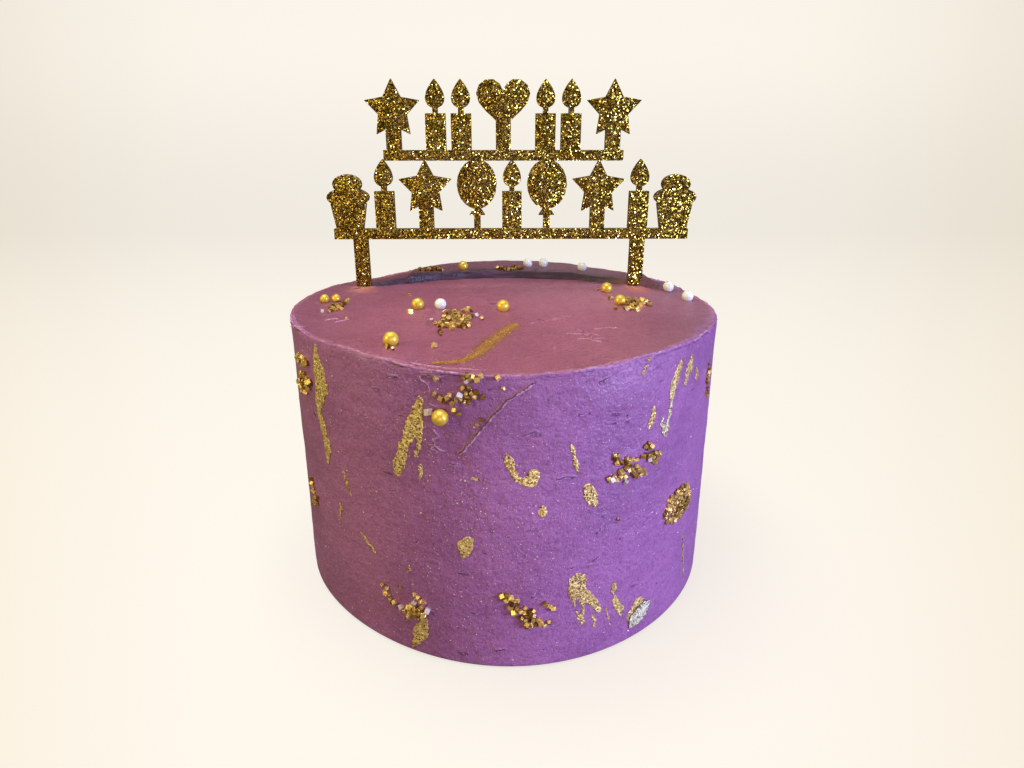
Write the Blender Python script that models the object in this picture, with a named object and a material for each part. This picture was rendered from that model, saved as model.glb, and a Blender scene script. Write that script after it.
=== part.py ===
"""Birthday cake: a tall round cake iced in purple buttercream and left uncut.

Sugar pearls, sugar crystals and gold leaf are pressed into the icing, and a flat acrylic
topper stands in it on two stakes. Metres, +Z up, front towards -Y. The origin is the
centre of the flat base. An azimuth is counted in degrees from the front, positive
towards +X.
"""

import math
import random

import bmesh
import bpy
from mathutils import Euler, Matrix, Vector

# Iced cake; the faces of its round pieces are a few millimetres wide
CAKE_RADIUS = 0.084
CAKE_HEIGHT = 0.1106
BASE_FLARE = 1.009
RIM_ROUND = 0.0013
FOOT_ROUND = 0.0012
COLUMNS = 72
SIDE_STEPS = 9
TOP_RINGS = (0.93, 0.8, 0.62, 0.44, 0.26, 0.12)

# Lobes of the outline, each with its cosine and sine share of the radius
OUTLINE_WAVES = ((2, 0.0001, -0.0020), (3, -0.0063, 0.0006), (4, 0.0104, 0.0004))

# Swells of the top edge: azimuth, lift and half width in degrees
RIM_SWELLS = (
    (-36, 0.0014, 16),
    (-3, -0.0009, 19),
    (40, 0.0008, 15),
    (77, -0.0009, 13),
    (101, -0.0014, 12),
    (-134, -0.0015, 13),
)
LIFT_START = 0.62

# Bank of icing pushed up along the back of the top. Its wall and crest have widths in y,
# and its slope down to the rim lies between two shares of the cake's radius.
BANK_LEFT = -0.051
BANK_RIGHT = 0.075
BANK_LEFT_FADE = 0.012
BANK_RIGHT_FADE = 0.014
BANK_FRONT_Y = 0.0455
BANK_FRONT_RADIUS = 0.104
BANK_RISE = 0.0033
BANK_LEAST_RISE = 0.0002
BANK_WALL = 0.0014
BANK_CREST = 0.002
BANK_SLOPE = 0.003
BANK_SLOPE_START = 0.84
BANK_SLOPE_END = 0.975
BANK_SINK = 0.0006
BANK_ROOT = 0.004
BANK_STATIONS = 30

# Changes along the bank: centre x, half width and rise
BANK_CHANGES = ((0.045, 0.009, -0.0012), (0.0615, 0.0045, 0.0012))

# Sugar pearls on top: x, y, diameter
TOP_PEARLS = (
    (-0.0380, -0.0588, 0.0052),
    (-0.0348, -0.0093, 0.0050),
    (-0.0009, -0.0127, 0.0050),
    (0.0442, 0.0187, 0.0048),
    (0.0467, -0.0034, 0.0047),
    (-0.0743, 0.0015, 0.0038),
    (-0.0698, 0.0023, 0.0036),
    (-0.0258, -0.0089, 0.0047),
    (0.0721, 0.0230, 0.0048),
    (0.0770, 0.0080, 0.0049),
    (-0.0200, 0.0520, 0.0045),
    (0.0110, 0.0580, 0.0044),
    (0.0185, 0.0575, 0.0045),
    (0.0365, 0.0500, 0.0044),
)

# Sugar pearls on the side: azimuth, height, diameter
SIDE_PEARLS = (
    (-14.4, 0.0945, 0.0053),
    (152.0, 0.0620, 0.0050),
    (-118.0, 0.0850, 0.0050),
)
PEARL_SUNK = 0.16

# Heaps of sugar crystals on top: x, y, half width, half depth, count
TOP_HEAPS = (
    (-0.0685, -0.0040, 0.0048, 0.0065, 9),
    (-0.0198, -0.0245, 0.0085, 0.0110, 24),
    (0.0520, -0.0020, 0.0085, 0.0065, 14),
    (-0.0355, 0.0490, 0.0062, 0.0036, 8),
    (0.0018, 0.0500, 0.0058, 0.0036, 7),
)

# Heaps on the side: azimuth, height, half width, half height, tilt, count
SIDE_HEAPS = (
    (-7.4, 0.1070, 0.0056, 0.0012, 0, 6),
    (-8.6, 0.1012, 0.0052, 0.0042, -30, 12),
    (30.2, 0.0735, 0.0100, 0.0032, 8, 19),
    (50.6, 0.0482, 0.0105, 0.0040, 15, 18),
    (-65.6, 0.0945, 0.0092, 0.0052, -30, 15),
    (-69.0, 0.0410, 0.0046, 0.0046, -50, 7),
    (-22.4, 0.0192, 0.0048, 0.0034, -15, 9),
    (4.6, 0.0236, 0.0098, 0.0024, -36, 13),
    (73.5, 0.0865, 0.0030, 0.0060, 0, 6),
    (112.0, 0.0560, 0.0085, 0.0036, 12, 9),
    (141.0, 0.0930, 0.0070, 0.0040, -20, 9),
    (166.0, 0.0380, 0.0090, 0.0035, 25, 9),
    (-165.0, 0.0760, 0.0080, 0.0036, -10, 9),
    (-138.0, 0.0270, 0.0080, 0.0036, -25, 9),
    (-108.0, 0.0620, 0.0060, 0.0040, 30, 7),
)

# Single crystals: azimuth and height
SIDE_STRAYS = (
    (-14.8, 0.1062),
    (-13.6, 0.1004),
    (-5.0, 0.0954),
    (-1.5, 0.1050),
    (-33.1, 0.0243),
    (-30.5, 0.0238),
    (-31.4, 0.0212),
    (-29.0, 0.0193),
    (-27.0, 0.0266),
    (9.5, 0.0262),
)
CRYSTAL_SIZE = 0.0021
CRYSTAL_SPREAD = (0.72, 1.2)
CRYSTAL_PROUD = 0.0004
HEAP_SHAKE = 0.16

# Flakes of gold leaf, each a spine of azimuth, height and width
LEAF_FLAKES = (
    ((-17.7, 0.1000, 0.0014), (-19.2, 0.0928, 0.0044), (-21.2, 0.0865, 0.0044),
     (-23.6, 0.0800, 0.0026), (-25.6, 0.0725, 0.0038)),
    ((0.2, 0.0832, 0.0024), (1.5, 0.0785, 0.0020), (3.2, 0.0742, 0.0024), (6.0, 0.0752, 0.0048)),
    ((14.3, 0.0850, 0.0014), (14.8, 0.0800, 0.0026), (15.6, 0.0755, 0.0010)),
    ((17.2, 0.0700, 0.0022), (19.0, 0.0662, 0.0046), (20.3, 0.0620, 0.0020)),
    ((46.6, 0.1052, 0.0016), (43.8, 0.0980, 0.0040), (42.4, 0.0918, 0.0018)),
    ((50.6, 0.1030, 0.0026), (49.0, 0.0955, 0.0012)),
    ((36.8, 0.0912, 0.0012), (35.6, 0.0878, 0.0026), (35.0, 0.0840, 0.0010)),
    ((-8.7, 0.0522, 0.0028), (-8.8, 0.0492, 0.0050), (-9.2, 0.0462, 0.0020)),
    ((-20.0, 0.0150, 0.0030), (-21.5, 0.0089, 0.0060), (-23.2, 0.0030, 0.0022)),
    ((14.6, 0.0362, 0.0040), (16.9, 0.0318, 0.0072), (19.4, 0.0262, 0.0046),
     (23.0, 0.0195, 0.0024)),
    ((31.8, 0.0066, 0.0040), (34.8, 0.0108, 0.0078), (38.4, 0.0140, 0.0030)),
    ((-51.5, 0.1075, 0.0016), (-51.0, 0.0995, 0.0062), (-51.7, 0.0900, 0.0036)),
    ((96.0, 0.0860, 0.0020), (98.0, 0.0780, 0.0048), (97.0, 0.0700, 0.0016)),
    ((128.0, 0.0320, 0.0030), (131.0, 0.0260, 0.0062), (135.0, 0.0200, 0.0024)),
    ((172.0, 0.0920, 0.0018), (170.0, 0.0840, 0.0046), (173.0, 0.0740, 0.0018)),
    ((-150.0, 0.0560, 0.0024), (-148.0, 0.0500, 0.0056), (-149.0, 0.0430, 0.0020)),
    ((-98.0, 0.0320, 0.0024), (-96.0, 0.0250, 0.0054), (-97.0, 0.0170, 0.0020)),
)
LEAF_PROUD = 0.00035
LEAF_ROOT = 0.0012

# Topper, cut from one flat sheet
TOPPER_Y = 0.0301
TOPPER_THICKNESS = 0.003
STROKE = 0.0063
STAKE_X = (-0.0633, 0.0582)
STAKE_DEPTH = 0.030
STAKE_POINT = 0.006
LOWER_BAR = (-0.0745, 0.0800, 0.1318, 0.1362)
UPPER_BAR = (-0.0510, 0.0500, 0.1646, 0.1688)
LOWER_TOP = 0.1652
UPPER_TOP = 0.1965
LOWER_SPAN = (-0.0765, 0.0825)
UPPER_SPAN = (-0.0576, 0.0565)
LOWER_MOTIFS = (
    "cupcake", "candle", "star", "balloon", "candle", "balloon", "star", "candle", "cupcake",
)
UPPER_MOTIFS = ("star", "candle", "candle", "heart", "candle", "candle", "star")
MOTIF_OVERLAP = 0.0011
ARC_STEPS = 20
CANDLE_WIDTH = 0.0084
WICK_WIDTH = 0.0022
WICK_HEIGHT = 0.0020
FLAME_WIDTH = 0.0078
FLAME_HEIGHT = 0.0112
STAR_RADIUS = 0.0118
STAR_WAIST = 0.52
HEART_WIDTH = 0.0222
HEART_HEIGHT = 0.0205
BALLOON_WIDTH = 0.0170
BALLOON_HEIGHT = 0.0205
KNOT_WIDTH = 0.0068
KNOT_HEIGHT = 0.0026
STRING_WIDTH = 0.0028
CUPCAKE_WIDTH = 0.0182
CASE_HEIGHT = 0.0118
ROLL_HEIGHT = 0.0082
CHERRY_WIDTH = 0.0052

# Free space round each stake where the icing has been pushed aside
STAKE_CLEARANCE = 0.0003


def smooth(value, low, high):
    """0 below low, 1 above high, and an even curve between."""
    share = min(1.0, max(0.0, (value - low) / (high - low)))
    return share * share * (3.0 - 2.0 * share)


def bell(offset, width):
    """1 at no offset, falling to nothing within about two widths."""
    return math.exp(-((offset / width) ** 2))


def outline_factor(angle):
    """How far the hand-smoothed outline departs from a true circle."""
    factor = 1.0
    for lobes, cosine, sine in OUTLINE_WAVES:
        factor += cosine * math.cos(lobes * angle) + sine * math.sin(lobes * angle)
    return factor


def side_radius(angle, height):
    """Radius of the iced side at one height."""
    flare = BASE_FLARE + (1.0 - BASE_FLARE) * height / CAKE_HEIGHT
    return CAKE_RADIUS * flare * outline_factor(angle)


def rim_lift(angle):
    """Rise and fall of the top edge on its way round."""
    lift = 0.0
    for azimuth, rise, width in RIM_SWELLS:
        offset = math.remainder(angle - math.radians(azimuth - 90.0), math.tau)
        lift += rise * bell(offset, math.radians(width))
    return lift


def top_height(x, y):
    """Height of the top without its bank."""
    angle = math.atan2(y, x)
    reach = math.hypot(x, y) / side_radius(angle, CAKE_HEIGHT)
    return CAKE_HEIGHT + rim_lift(angle) * smooth(reach, LIFT_START, 1.0)


def bank_front(x):
    """Foot of the bank's front wall, an arc across the top."""
    return BANK_FRONT_Y - x * x / (2.0 * BANK_FRONT_RADIUS)


def bank_rise(x):
    """Height of the bank above the top, fading out at both ends."""
    rise = BANK_RISE * smooth(x, BANK_LEFT, BANK_LEFT + BANK_LEFT_FADE)
    rise *= 1.0 - smooth(x, BANK_RIGHT - BANK_RIGHT_FADE, BANK_RIGHT)
    for centre, width, change in BANK_CHANGES:
        rise += change * bell(x - centre, width)
    return max(rise, BANK_LEAST_RISE)


def circle_y(x, share):
    """Depth of a point at x on the outline shrunk to a share of itself."""
    y = math.sqrt(max(0.0, (CAKE_RADIUS * share) ** 2 - x * x))
    factor = outline_factor(math.atan2(y, x))
    return math.sqrt(max(0.0, (CAKE_RADIUS * share * factor) ** 2 - x * x))


def bank_marks(x):
    """Depths of the bank's foot, wall top, slope start and slope end at x."""
    foot = bank_front(x)
    wall_top = foot + BANK_WALL
    slope_end = max(circle_y(x, BANK_SLOPE_END), wall_top + BANK_CREST + BANK_SLOPE)
    slope_start = max(circle_y(x, BANK_SLOPE_START), wall_top + BANK_CREST)
    return foot, wall_top, min(slope_start, slope_end - BANK_SLOPE), slope_end


def icing_height(x, y):
    """Height of the icing at a point of the top, the bank included."""
    level = top_height(x, y)
    if not BANK_LEFT < x < BANK_RIGHT:
        return level
    foot, wall_top, slope_start, slope_end = bank_marks(x)
    up = smooth(y, foot, wall_top)
    down = 1.0 - smooth(y, slope_start, slope_end)
    return level + bank_rise(x) * up * down


def on_side(azimuth, height, proud):
    """Point at a distance out of the side, or into it."""
    angle = math.radians(azimuth - 90.0)
    radius = side_radius(angle, height) + proud
    return Vector((radius * math.cos(angle), radius * math.sin(angle), height))


def surface_material(name, colour, roughness, metallic=0.0):
    """Plain Principled material."""
    material = bpy.data.materials.new(name)
    material.use_nodes = True
    shader = material.node_tree.nodes["Principled BSDF"]
    shader.inputs["Base Color"].default_value = (*colour, 1.0)
    shader.inputs["Roughness"].default_value = roughness
    shader.inputs["Metallic"].default_value = metallic
    return material


def new_object(name, mesh_builder):
    """Object made from a bmesh, which is used up."""
    mesh = bpy.data.meshes.new(name)
    mesh_builder.to_mesh(mesh)
    mesh_builder.free()
    piece = bpy.data.objects.new(name, mesh)
    bpy.context.scene.collection.objects.link(piece)
    return piece


def bridge(builder, lower, upper):
    """Band of quads between two closed rings of equal count, counter-clockwise from above."""
    count = len(lower)
    for index in range(count):
        after = (index + 1) % count
        builder.faces.new((lower[index], lower[after], upper[after], upper[index]))


def ring(builder, place_at):
    """Ring of vertices round the cake."""
    return [builder.verts.new(place_at(math.tau * index / COLUMNS)) for index in range(COLUMNS)]


def cake_body():
    """The iced cake without its bank: base, side, rounded edge and top."""
    builder = bmesh.new()

    def side_ring(height, inset):
        def place_at(angle):
            radius = side_radius(angle, height) - inset
            lifted = height + rim_lift(angle) * smooth(height, 0.5 * CAKE_HEIGHT, CAKE_HEIGHT)
            return (radius * math.cos(angle), radius * math.sin(angle), lifted)

        return ring(builder, place_at)

    def top_ring(share):
        def place_at(angle):
            radius = side_radius(angle, CAKE_HEIGHT) * share
            x = radius * math.cos(angle)
            y = radius * math.sin(angle)
            return (x, y, top_height(x, y))

        return ring(builder, place_at)

    rings = [side_ring(0.0, FOOT_ROUND)]
    shoulder = CAKE_HEIGHT - RIM_ROUND
    for step in range(SIDE_STEPS + 1):
        height = FOOT_ROUND + (shoulder - FOOT_ROUND) * step / SIDE_STEPS
        rings.append(side_ring(height, 0.0))
    rings.append(side_ring(CAKE_HEIGHT - 0.3 * RIM_ROUND, 0.3 * RIM_ROUND))
    rings.append(side_ring(CAKE_HEIGHT, RIM_ROUND))
    rings.extend(top_ring(share) for share in TOP_RINGS)
    for lower, upper in zip(rings, rings[1:]):
        bridge(builder, lower, upper)
    builder.faces.new(reversed(rings[0]))
    centre = builder.verts.new((0.0, 0.0, top_height(0.0, 0.0)))
    for index, vertex in enumerate(rings[-1]):
        builder.faces.new((vertex, rings[-1][(index + 1) % COLUMNS], centre))
    return new_object("cake", builder)


def bank_body():
    """The bank along the back: front wall, flat crest and a slope down to the rim."""
    builder = bmesh.new()
    sections = []
    for station in range(BANK_STATIONS + 1):
        x = BANK_LEFT + (BANK_RIGHT - BANK_LEFT) * station / BANK_STATIONS
        foot, wall_top, slope_start, slope_end = bank_marks(x)
        root = CAKE_HEIGHT - BANK_ROOT
        level = top_height(x, wall_top)
        crest = level + bank_rise(x)
        outline = (
            (foot, root),
            (foot, level),
            (wall_top, crest),
            (slope_start, crest),
            (slope_end, top_height(x, slope_end) - BANK_SINK),
            (slope_end - BANK_SINK, root),
        )
        sections.append([builder.verts.new((x, y, z)) for y, z in outline])
    for near, far in zip(sections, sections[1:]):
        bridge(builder, near, far)
    builder.faces.new(sections[0])
    builder.faces.new(reversed(sections[-1]))
    bmesh.ops.recalc_face_normals(builder, faces=builder.faces)
    return new_object("bank", builder)


def pearl(place, diameter):
    """Round sugar pearl with a few dozen facets."""
    builder = bmesh.new()
    bmesh.ops.create_icosphere(
        builder, subdivisions=2, radius=0.5 * diameter, matrix=Matrix.Translation(place)
    )
    return new_object("pearl", builder)


def crystal(place, draw):
    """Block of coarse sugar, uneven and turned at random."""
    builder = bmesh.new()
    bmesh.ops.create_cube(builder, size=1.0)
    sides = [CRYSTAL_SIZE * draw.uniform(*CRYSTAL_SPREAD) for _ in range(3)]
    turn = Euler([draw.uniform(0.0, math.tau) for _ in range(3)]).to_matrix().to_4x4()
    shape = Matrix.Translation(place) @ turn @ Matrix.Diagonal((*sides, 1.0))
    bmesh.ops.transform(builder, matrix=shape, verts=builder.verts)
    return new_object("crystal", builder)


def heap_offsets(count, draw):
    """Even spiral over a unit disc, shaken a little."""
    golden_angle = math.pi * (3.0 - math.sqrt(5.0))
    for index in range(count):
        reach = math.sqrt((index + 0.5) / count)
        angle = index * golden_angle
        across = reach * math.cos(angle) + draw.uniform(-HEAP_SHAKE, HEAP_SHAKE)
        along = reach * math.sin(angle) + draw.uniform(-HEAP_SHAKE, HEAP_SHAKE)
        yield across, along


def top_crystals(draw):
    """Crystals of the heaps on top."""
    pieces = []
    for x, y, half_width, half_depth, count in TOP_HEAPS:
        for across, along in heap_offsets(count, draw):
            px = x + half_width * across
            py = y + half_depth * along
            place = Vector((px, py, icing_height(px, py) + CRYSTAL_PROUD))
            pieces.append(crystal(place, draw))
    return pieces


def side_crystals(draw):
    """Crystals of the heaps on the side, and the single ones."""
    pieces = []
    for azimuth, height, half_width, half_height, tilt, count in SIDE_HEAPS:
        slope = math.radians(tilt)
        for across, along in heap_offsets(count, draw):
            sideways = half_width * across * math.cos(slope) - half_height * along * math.sin(slope)
            upwards = half_width * across * math.sin(slope) + half_height * along * math.cos(slope)
            turned = azimuth + math.degrees(sideways / CAKE_RADIUS)
            pieces.append(crystal(on_side(turned, height + upwards, CRYSTAL_PROUD), draw))
    for azimuth, height in SIDE_STRAYS:
        pieces.append(crystal(on_side(azimuth, height, CRYSTAL_PROUD), draw))
    return pieces


def leaf_flake(spine):
    """Flake of leaf as a thin plate that follows the side."""
    builder = bmesh.new()
    left = []
    right = []
    for azimuth, height, width in spine:
        spread = math.degrees(0.5 * width / CAKE_RADIUS)
        left.append((azimuth - spread, height))
        right.append((azimuth + spread, height))
    outline = left + right[::-1]
    outer = [builder.verts.new(on_side(a, h, LEAF_PROUD)) for a, h in outline]
    inner = [builder.verts.new(on_side(a, h, -LEAF_ROOT)) for a, h in outline]
    last = len(outline) - 1
    for index in range(len(spine) - 1):
        for layer in (outer, inner):
            corners = (layer[index], layer[index + 1], layer[last - index - 1], layer[last - index])
            builder.faces.new(corners)
    bridge(builder, outer, inner)
    bmesh.ops.recalc_face_normals(builder, faces=builder.faces)
    return new_object("leaf", builder)


def plate(outline):
    """Flat piece of the topper's sheet, from its outline in x and z."""
    builder = bmesh.new()
    front_y = TOPPER_Y - 0.5 * TOPPER_THICKNESS
    back_y = TOPPER_Y + 0.5 * TOPPER_THICKNESS
    front = [builder.verts.new((x, front_y, z)) for x, z in outline]
    back = [builder.verts.new((x, back_y, z)) for x, z in outline]
    builder.faces.new(front)
    builder.faces.new(reversed(back))
    bridge(builder, front, back)
    bmesh.ops.recalc_face_normals(builder, faces=builder.faces)
    return new_object("plate", builder)


def block(low_x, high_x, low_z, high_z):
    """Outline of an upright rectangle."""
    return [(low_x, low_z), (high_x, low_z), (high_x, high_z), (low_x, high_z)]


def oval(x, z, width, height):
    """Outline of an ellipse."""
    points = []
    for step in range(ARC_STEPS):
        angle = math.tau * step / ARC_STEPS
        points.append((x + 0.5 * width * math.cos(angle), z + 0.5 * height * math.sin(angle)))
    return points


def flame(x, low_z, width, height):
    """Outline of a candle flame, round below and pointed above."""
    points = []
    for step in range(ARC_STEPS):
        angle = math.tau * step / ARC_STEPS
        swell = math.sin(angle) * math.sin(0.5 * angle)
        points.append((x - 0.65 * width * swell, low_z + 0.5 * height * (1.0 + math.cos(angle))))
    return points


def star_outline(x, z, radius):
    """Outline of a plump five-pointed star."""
    points = []
    for step in range(10):
        reach = radius if step % 2 == 0 else STAR_WAIST * radius
        angle = math.pi * (0.5 + step / 5.0)
        points.append((x + reach * math.cos(angle), z + reach * math.sin(angle)))
    return points


def heart_outline(x, low_z, width, height):
    """Outline of a heart that stands on its tip."""
    points = []
    for step in range(ARC_STEPS + 4):
        angle = math.tau * step / (ARC_STEPS + 4)
        across = math.sin(angle) ** 3
        up = (13.0 * math.cos(angle) - 5.0 * math.cos(2.0 * angle)
              - 2.0 * math.cos(3.0 * angle) - math.cos(4.0 * angle) + 17.0) / 29.0
        points.append((x + 0.5 * width * across, low_z + height * up))
    return points


def candle(x, low_z, high_z):
    """Candle with its wick and flame."""
    flame_z = high_z - FLAME_HEIGHT
    half = 0.5 * CANDLE_WIDTH
    wick = 0.5 * WICK_WIDTH
    return [
        block(x - half, x + half, low_z, flame_z - WICK_HEIGHT),
        block(x - wick, x + wick, flame_z - 2.0 * WICK_HEIGHT, flame_z + WICK_HEIGHT),
        flame(x, flame_z, FLAME_WIDTH, FLAME_HEIGHT),
    ]


def star(x, low_z, high_z):
    """Star on a short stem."""
    return [
        star_outline(x, high_z - STAR_RADIUS, STAR_RADIUS),
        block(x - 0.5 * STROKE, x + 0.5 * STROKE, low_z, high_z - 1.3 * STAR_RADIUS),
    ]


def heart(x, low_z, high_z):
    """Heart on a short stem."""
    half = 0.5 * STROKE
    return [
        heart_outline(x, high_z - HEART_HEIGHT, HEART_WIDTH, HEART_HEIGHT),
        block(x - half, x + half, low_z, high_z - 0.72 * HEART_HEIGHT),
    ]


def balloon(x, low_z, high_z):
    """Balloon with its knot and string."""
    knot = 0.5 * KNOT_WIDTH
    string = 0.5 * STRING_WIDTH
    knot_z = high_z - BALLOON_HEIGHT
    low_knot_z = knot_z - KNOT_HEIGHT
    return [
        oval(x, high_z - 0.5 * BALLOON_HEIGHT, BALLOON_WIDTH, BALLOON_HEIGHT),
        [(x - knot, low_knot_z), (x + knot, low_knot_z), (x, knot_z + KNOT_HEIGHT)],
        block(x - string, x + string, low_z, knot_z),
    ]


def cupcake(x, low_z, high_z):
    """Cupcake: a tapered paper case, two rolls of icing and a cherry."""
    foot = 0.31 * CUPCAKE_WIDTH
    brim = 0.42 * CUPCAKE_WIDTH
    case_z = low_z + CASE_HEIGHT
    return [
        [(x - foot, low_z), (x + foot, low_z), (x + brim, case_z), (x - brim, case_z)],
        oval(x, case_z + 0.32 * ROLL_HEIGHT, CUPCAKE_WIDTH, ROLL_HEIGHT),
        oval(x, case_z + 0.98 * ROLL_HEIGHT, 0.68 * CUPCAKE_WIDTH, ROLL_HEIGHT),
        oval(x, high_z - 0.5 * CHERRY_WIDTH, CHERRY_WIDTH, 1.15 * CHERRY_WIDTH),
    ]


# Each motif with the width it takes in its row
MOTIFS = {
    "candle": (candle, CANDLE_WIDTH),
    "star": (star, 2.0 * STAR_RADIUS * math.cos(math.radians(18.0))),
    "heart": (heart, HEART_WIDTH),
    "balloon": (balloon, BALLOON_WIDTH),
    "cupcake": (cupcake, CUPCAKE_WIDTH),
}


def motif_row(names, span, low_z, high_z):
    """Outlines of one row of motifs, with equal gaps over its span."""
    low_x, high_x = span
    taken = sum(MOTIFS[name][1] for name in names)
    gap = (high_x - low_x - taken) / (len(names) - 1)
    outlines = []
    for name in names:
        draw_motif, width = MOTIFS[name]
        outlines.extend(draw_motif(low_x + 0.5 * width, low_z, high_z))
        low_x += width + gap
    return outlines


def stake_outline(x, clearance):
    """Outline of one stake, pointed at its lower end."""
    half = 0.5 * STROKE + clearance
    tip_z = CAKE_HEIGHT - STAKE_DEPTH - clearance
    return [
        (x - half, LOWER_BAR[2] + MOTIF_OVERLAP),
        (x - half, tip_z + STAKE_POINT),
        (x, tip_z),
        (x + half, tip_z + STAKE_POINT),
        (x + half, LOWER_BAR[2] + MOTIF_OVERLAP),
    ]


def stake_cutter(x):
    """The space that one stake takes in the icing and sponge."""
    cutter = plate(stake_outline(x, STAKE_CLEARANCE))
    for vertex in cutter.data.vertices:
        side = 1.0 if vertex.co.y > TOPPER_Y else -1.0
        vertex.co.y += side * STAKE_CLEARANCE
    return cutter


def apply_boolean(target, operation, pieces):
    """Join pieces to the target or cut them from it, and remove them.

    The exact solver leaves open edges where crystals cross and slivers where plates lie in
    one plane, so this is the manifold one.
    """
    group = bpy.data.collections.new("pieces")
    bpy.context.scene.collection.children.link(group)
    for piece in pieces:
        group.objects.link(piece)
    modifier = target.modifiers.new("join", "BOOLEAN")
    modifier.operation = operation
    modifier.operand_type = "COLLECTION"
    modifier.collection = group
    modifier.solver = "MANIFOLD"
    bpy.context.view_layer.objects.active = target
    bpy.ops.object.modifier_apply(modifier=modifier.name)
    for piece in pieces:
        bpy.data.objects.remove(piece)
    bpy.data.collections.remove(group)


def keep_largest_body(piece):
    """Drop loose scraps, so that one body is left."""
    builder = bmesh.new()
    builder.from_mesh(piece.data)
    unseen = set(builder.verts)
    bodies = []
    while unseen:
        front = [unseen.pop()]
        body = set(front)
        while front:
            vertex = front.pop()
            for edge in vertex.link_edges:
                other = edge.other_vert(vertex)
                if other in unseen:
                    unseen.remove(other)
                    body.add(other)
                    front.append(other)
        bodies.append(body)
    bodies.sort(key=len)
    scraps = [vertex for body in bodies[:-1] for vertex in body]
    bmesh.ops.delete(builder, geom=scraps, context="VERTS")
    builder.to_mesh(piece.data)
    builder.free()


def build_cake():
    """The cake with everything that is pressed into its icing."""
    draw = random.Random(7)
    cake = cake_body()
    pieces = [bank_body()]
    for x, y, diameter in TOP_PEARLS:
        lift = diameter * (0.5 - PEARL_SUNK)
        pieces.append(pearl(Vector((x, y, icing_height(x, y) + lift)), diameter))
    for azimuth, height, diameter in SIDE_PEARLS:
        place = on_side(azimuth, height, diameter * (0.5 - PEARL_SUNK))
        pieces.append(pearl(place, diameter))
    pieces.extend(leaf_flake(spine) for spine in LEAF_FLAKES)
    pieces.extend(top_crystals(draw))
    pieces.extend(side_crystals(draw))
    apply_boolean(cake, "UNION", pieces)
    apply_boolean(cake, "DIFFERENCE", [stake_cutter(x) for x in STAKE_X])
    keep_largest_body(cake)
    cake.data.materials.clear()
    cake.data.materials.append(surface_material("icing", (0.30, 0.11, 0.30), 0.5))
    cake.data.shade_smooth()
    cake.data.set_sharp_from_angle(angle=math.radians(28.0))
    return cake


def build_topper():
    """The topper: two rows of motifs on two bars, over two stakes."""
    outlines = [block(*UPPER_BAR)]
    outlines.extend(motif_row(LOWER_MOTIFS, LOWER_SPAN, LOWER_BAR[3] - MOTIF_OVERLAP, LOWER_TOP))
    outlines.extend(motif_row(UPPER_MOTIFS, UPPER_SPAN, UPPER_BAR[3] - MOTIF_OVERLAP, UPPER_TOP))
    outlines.extend(stake_outline(x, 0.0) for x in STAKE_X)
    topper = plate(block(*LOWER_BAR))
    topper.name = "topper"
    apply_boolean(topper, "UNION", [plate(outline) for outline in outlines])
    keep_largest_body(topper)
    topper.data.materials.clear()
    topper.data.materials.append(surface_material("glitter_acrylic", (0.45, 0.30, 0.05), 0.3, 0.7))
    return topper


for old in list(bpy.data.objects):
    bpy.data.objects.remove(old)
build_cake()
build_topper()
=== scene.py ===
"""Looks of a tall round birthday cake in purple buttercream, with a gold glitter topper.

Metres, +Z up, front towards -Y. An azimuth is counted in degrees from the front, positive
towards +X. Heights are above the surface that the cake stands on.
"""

import math
import random
from itertools import product

import bpy
import numpy as np
from mathutils import Euler, Matrix, Vector


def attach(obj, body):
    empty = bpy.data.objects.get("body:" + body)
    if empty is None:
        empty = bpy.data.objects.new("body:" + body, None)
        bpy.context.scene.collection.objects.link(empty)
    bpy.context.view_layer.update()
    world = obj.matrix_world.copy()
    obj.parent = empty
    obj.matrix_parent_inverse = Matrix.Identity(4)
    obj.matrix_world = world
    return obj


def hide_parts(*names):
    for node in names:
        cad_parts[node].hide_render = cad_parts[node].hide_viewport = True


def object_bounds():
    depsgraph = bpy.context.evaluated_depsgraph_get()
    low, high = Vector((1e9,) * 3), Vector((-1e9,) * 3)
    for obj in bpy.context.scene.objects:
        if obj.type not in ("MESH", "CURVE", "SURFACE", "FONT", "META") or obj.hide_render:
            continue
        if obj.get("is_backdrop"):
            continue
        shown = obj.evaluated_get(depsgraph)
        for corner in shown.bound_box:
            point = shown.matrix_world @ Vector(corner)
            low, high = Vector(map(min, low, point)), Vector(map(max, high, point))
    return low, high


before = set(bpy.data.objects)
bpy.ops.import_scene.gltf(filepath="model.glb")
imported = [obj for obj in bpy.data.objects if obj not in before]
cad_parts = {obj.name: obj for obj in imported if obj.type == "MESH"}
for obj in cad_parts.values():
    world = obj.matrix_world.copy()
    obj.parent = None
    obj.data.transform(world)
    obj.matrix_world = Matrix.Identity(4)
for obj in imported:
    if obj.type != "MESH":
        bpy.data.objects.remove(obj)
solid_low, solid_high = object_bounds()

# Icing
# Purple buttercream over a round cake, smoothed by hand with a scraper. It starts as a plain
# open cylinder, whose rows and rings are then set to the uneven outline that the hand left.
CAKE_RADIUS = 0.084
CAKE_HEIGHT = 0.1106
BASE_FLARE = 1.009
RIM_ROUND = 0.0008
FOOT_ROUND = 0.0012
COLUMNS = 420
SIDE_ROWS = 96
TOP_RINGS = 104
RING_SPREAD = 1.35
ARC_ROWS = 5

# Lobes of the outline, each with its cosine and sine share of the radius
OUTLINE_WAVES = ((2, 0.0001, -0.0020), (3, -0.0063, 0.0006), (4, 0.0104, 0.0004))

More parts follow.
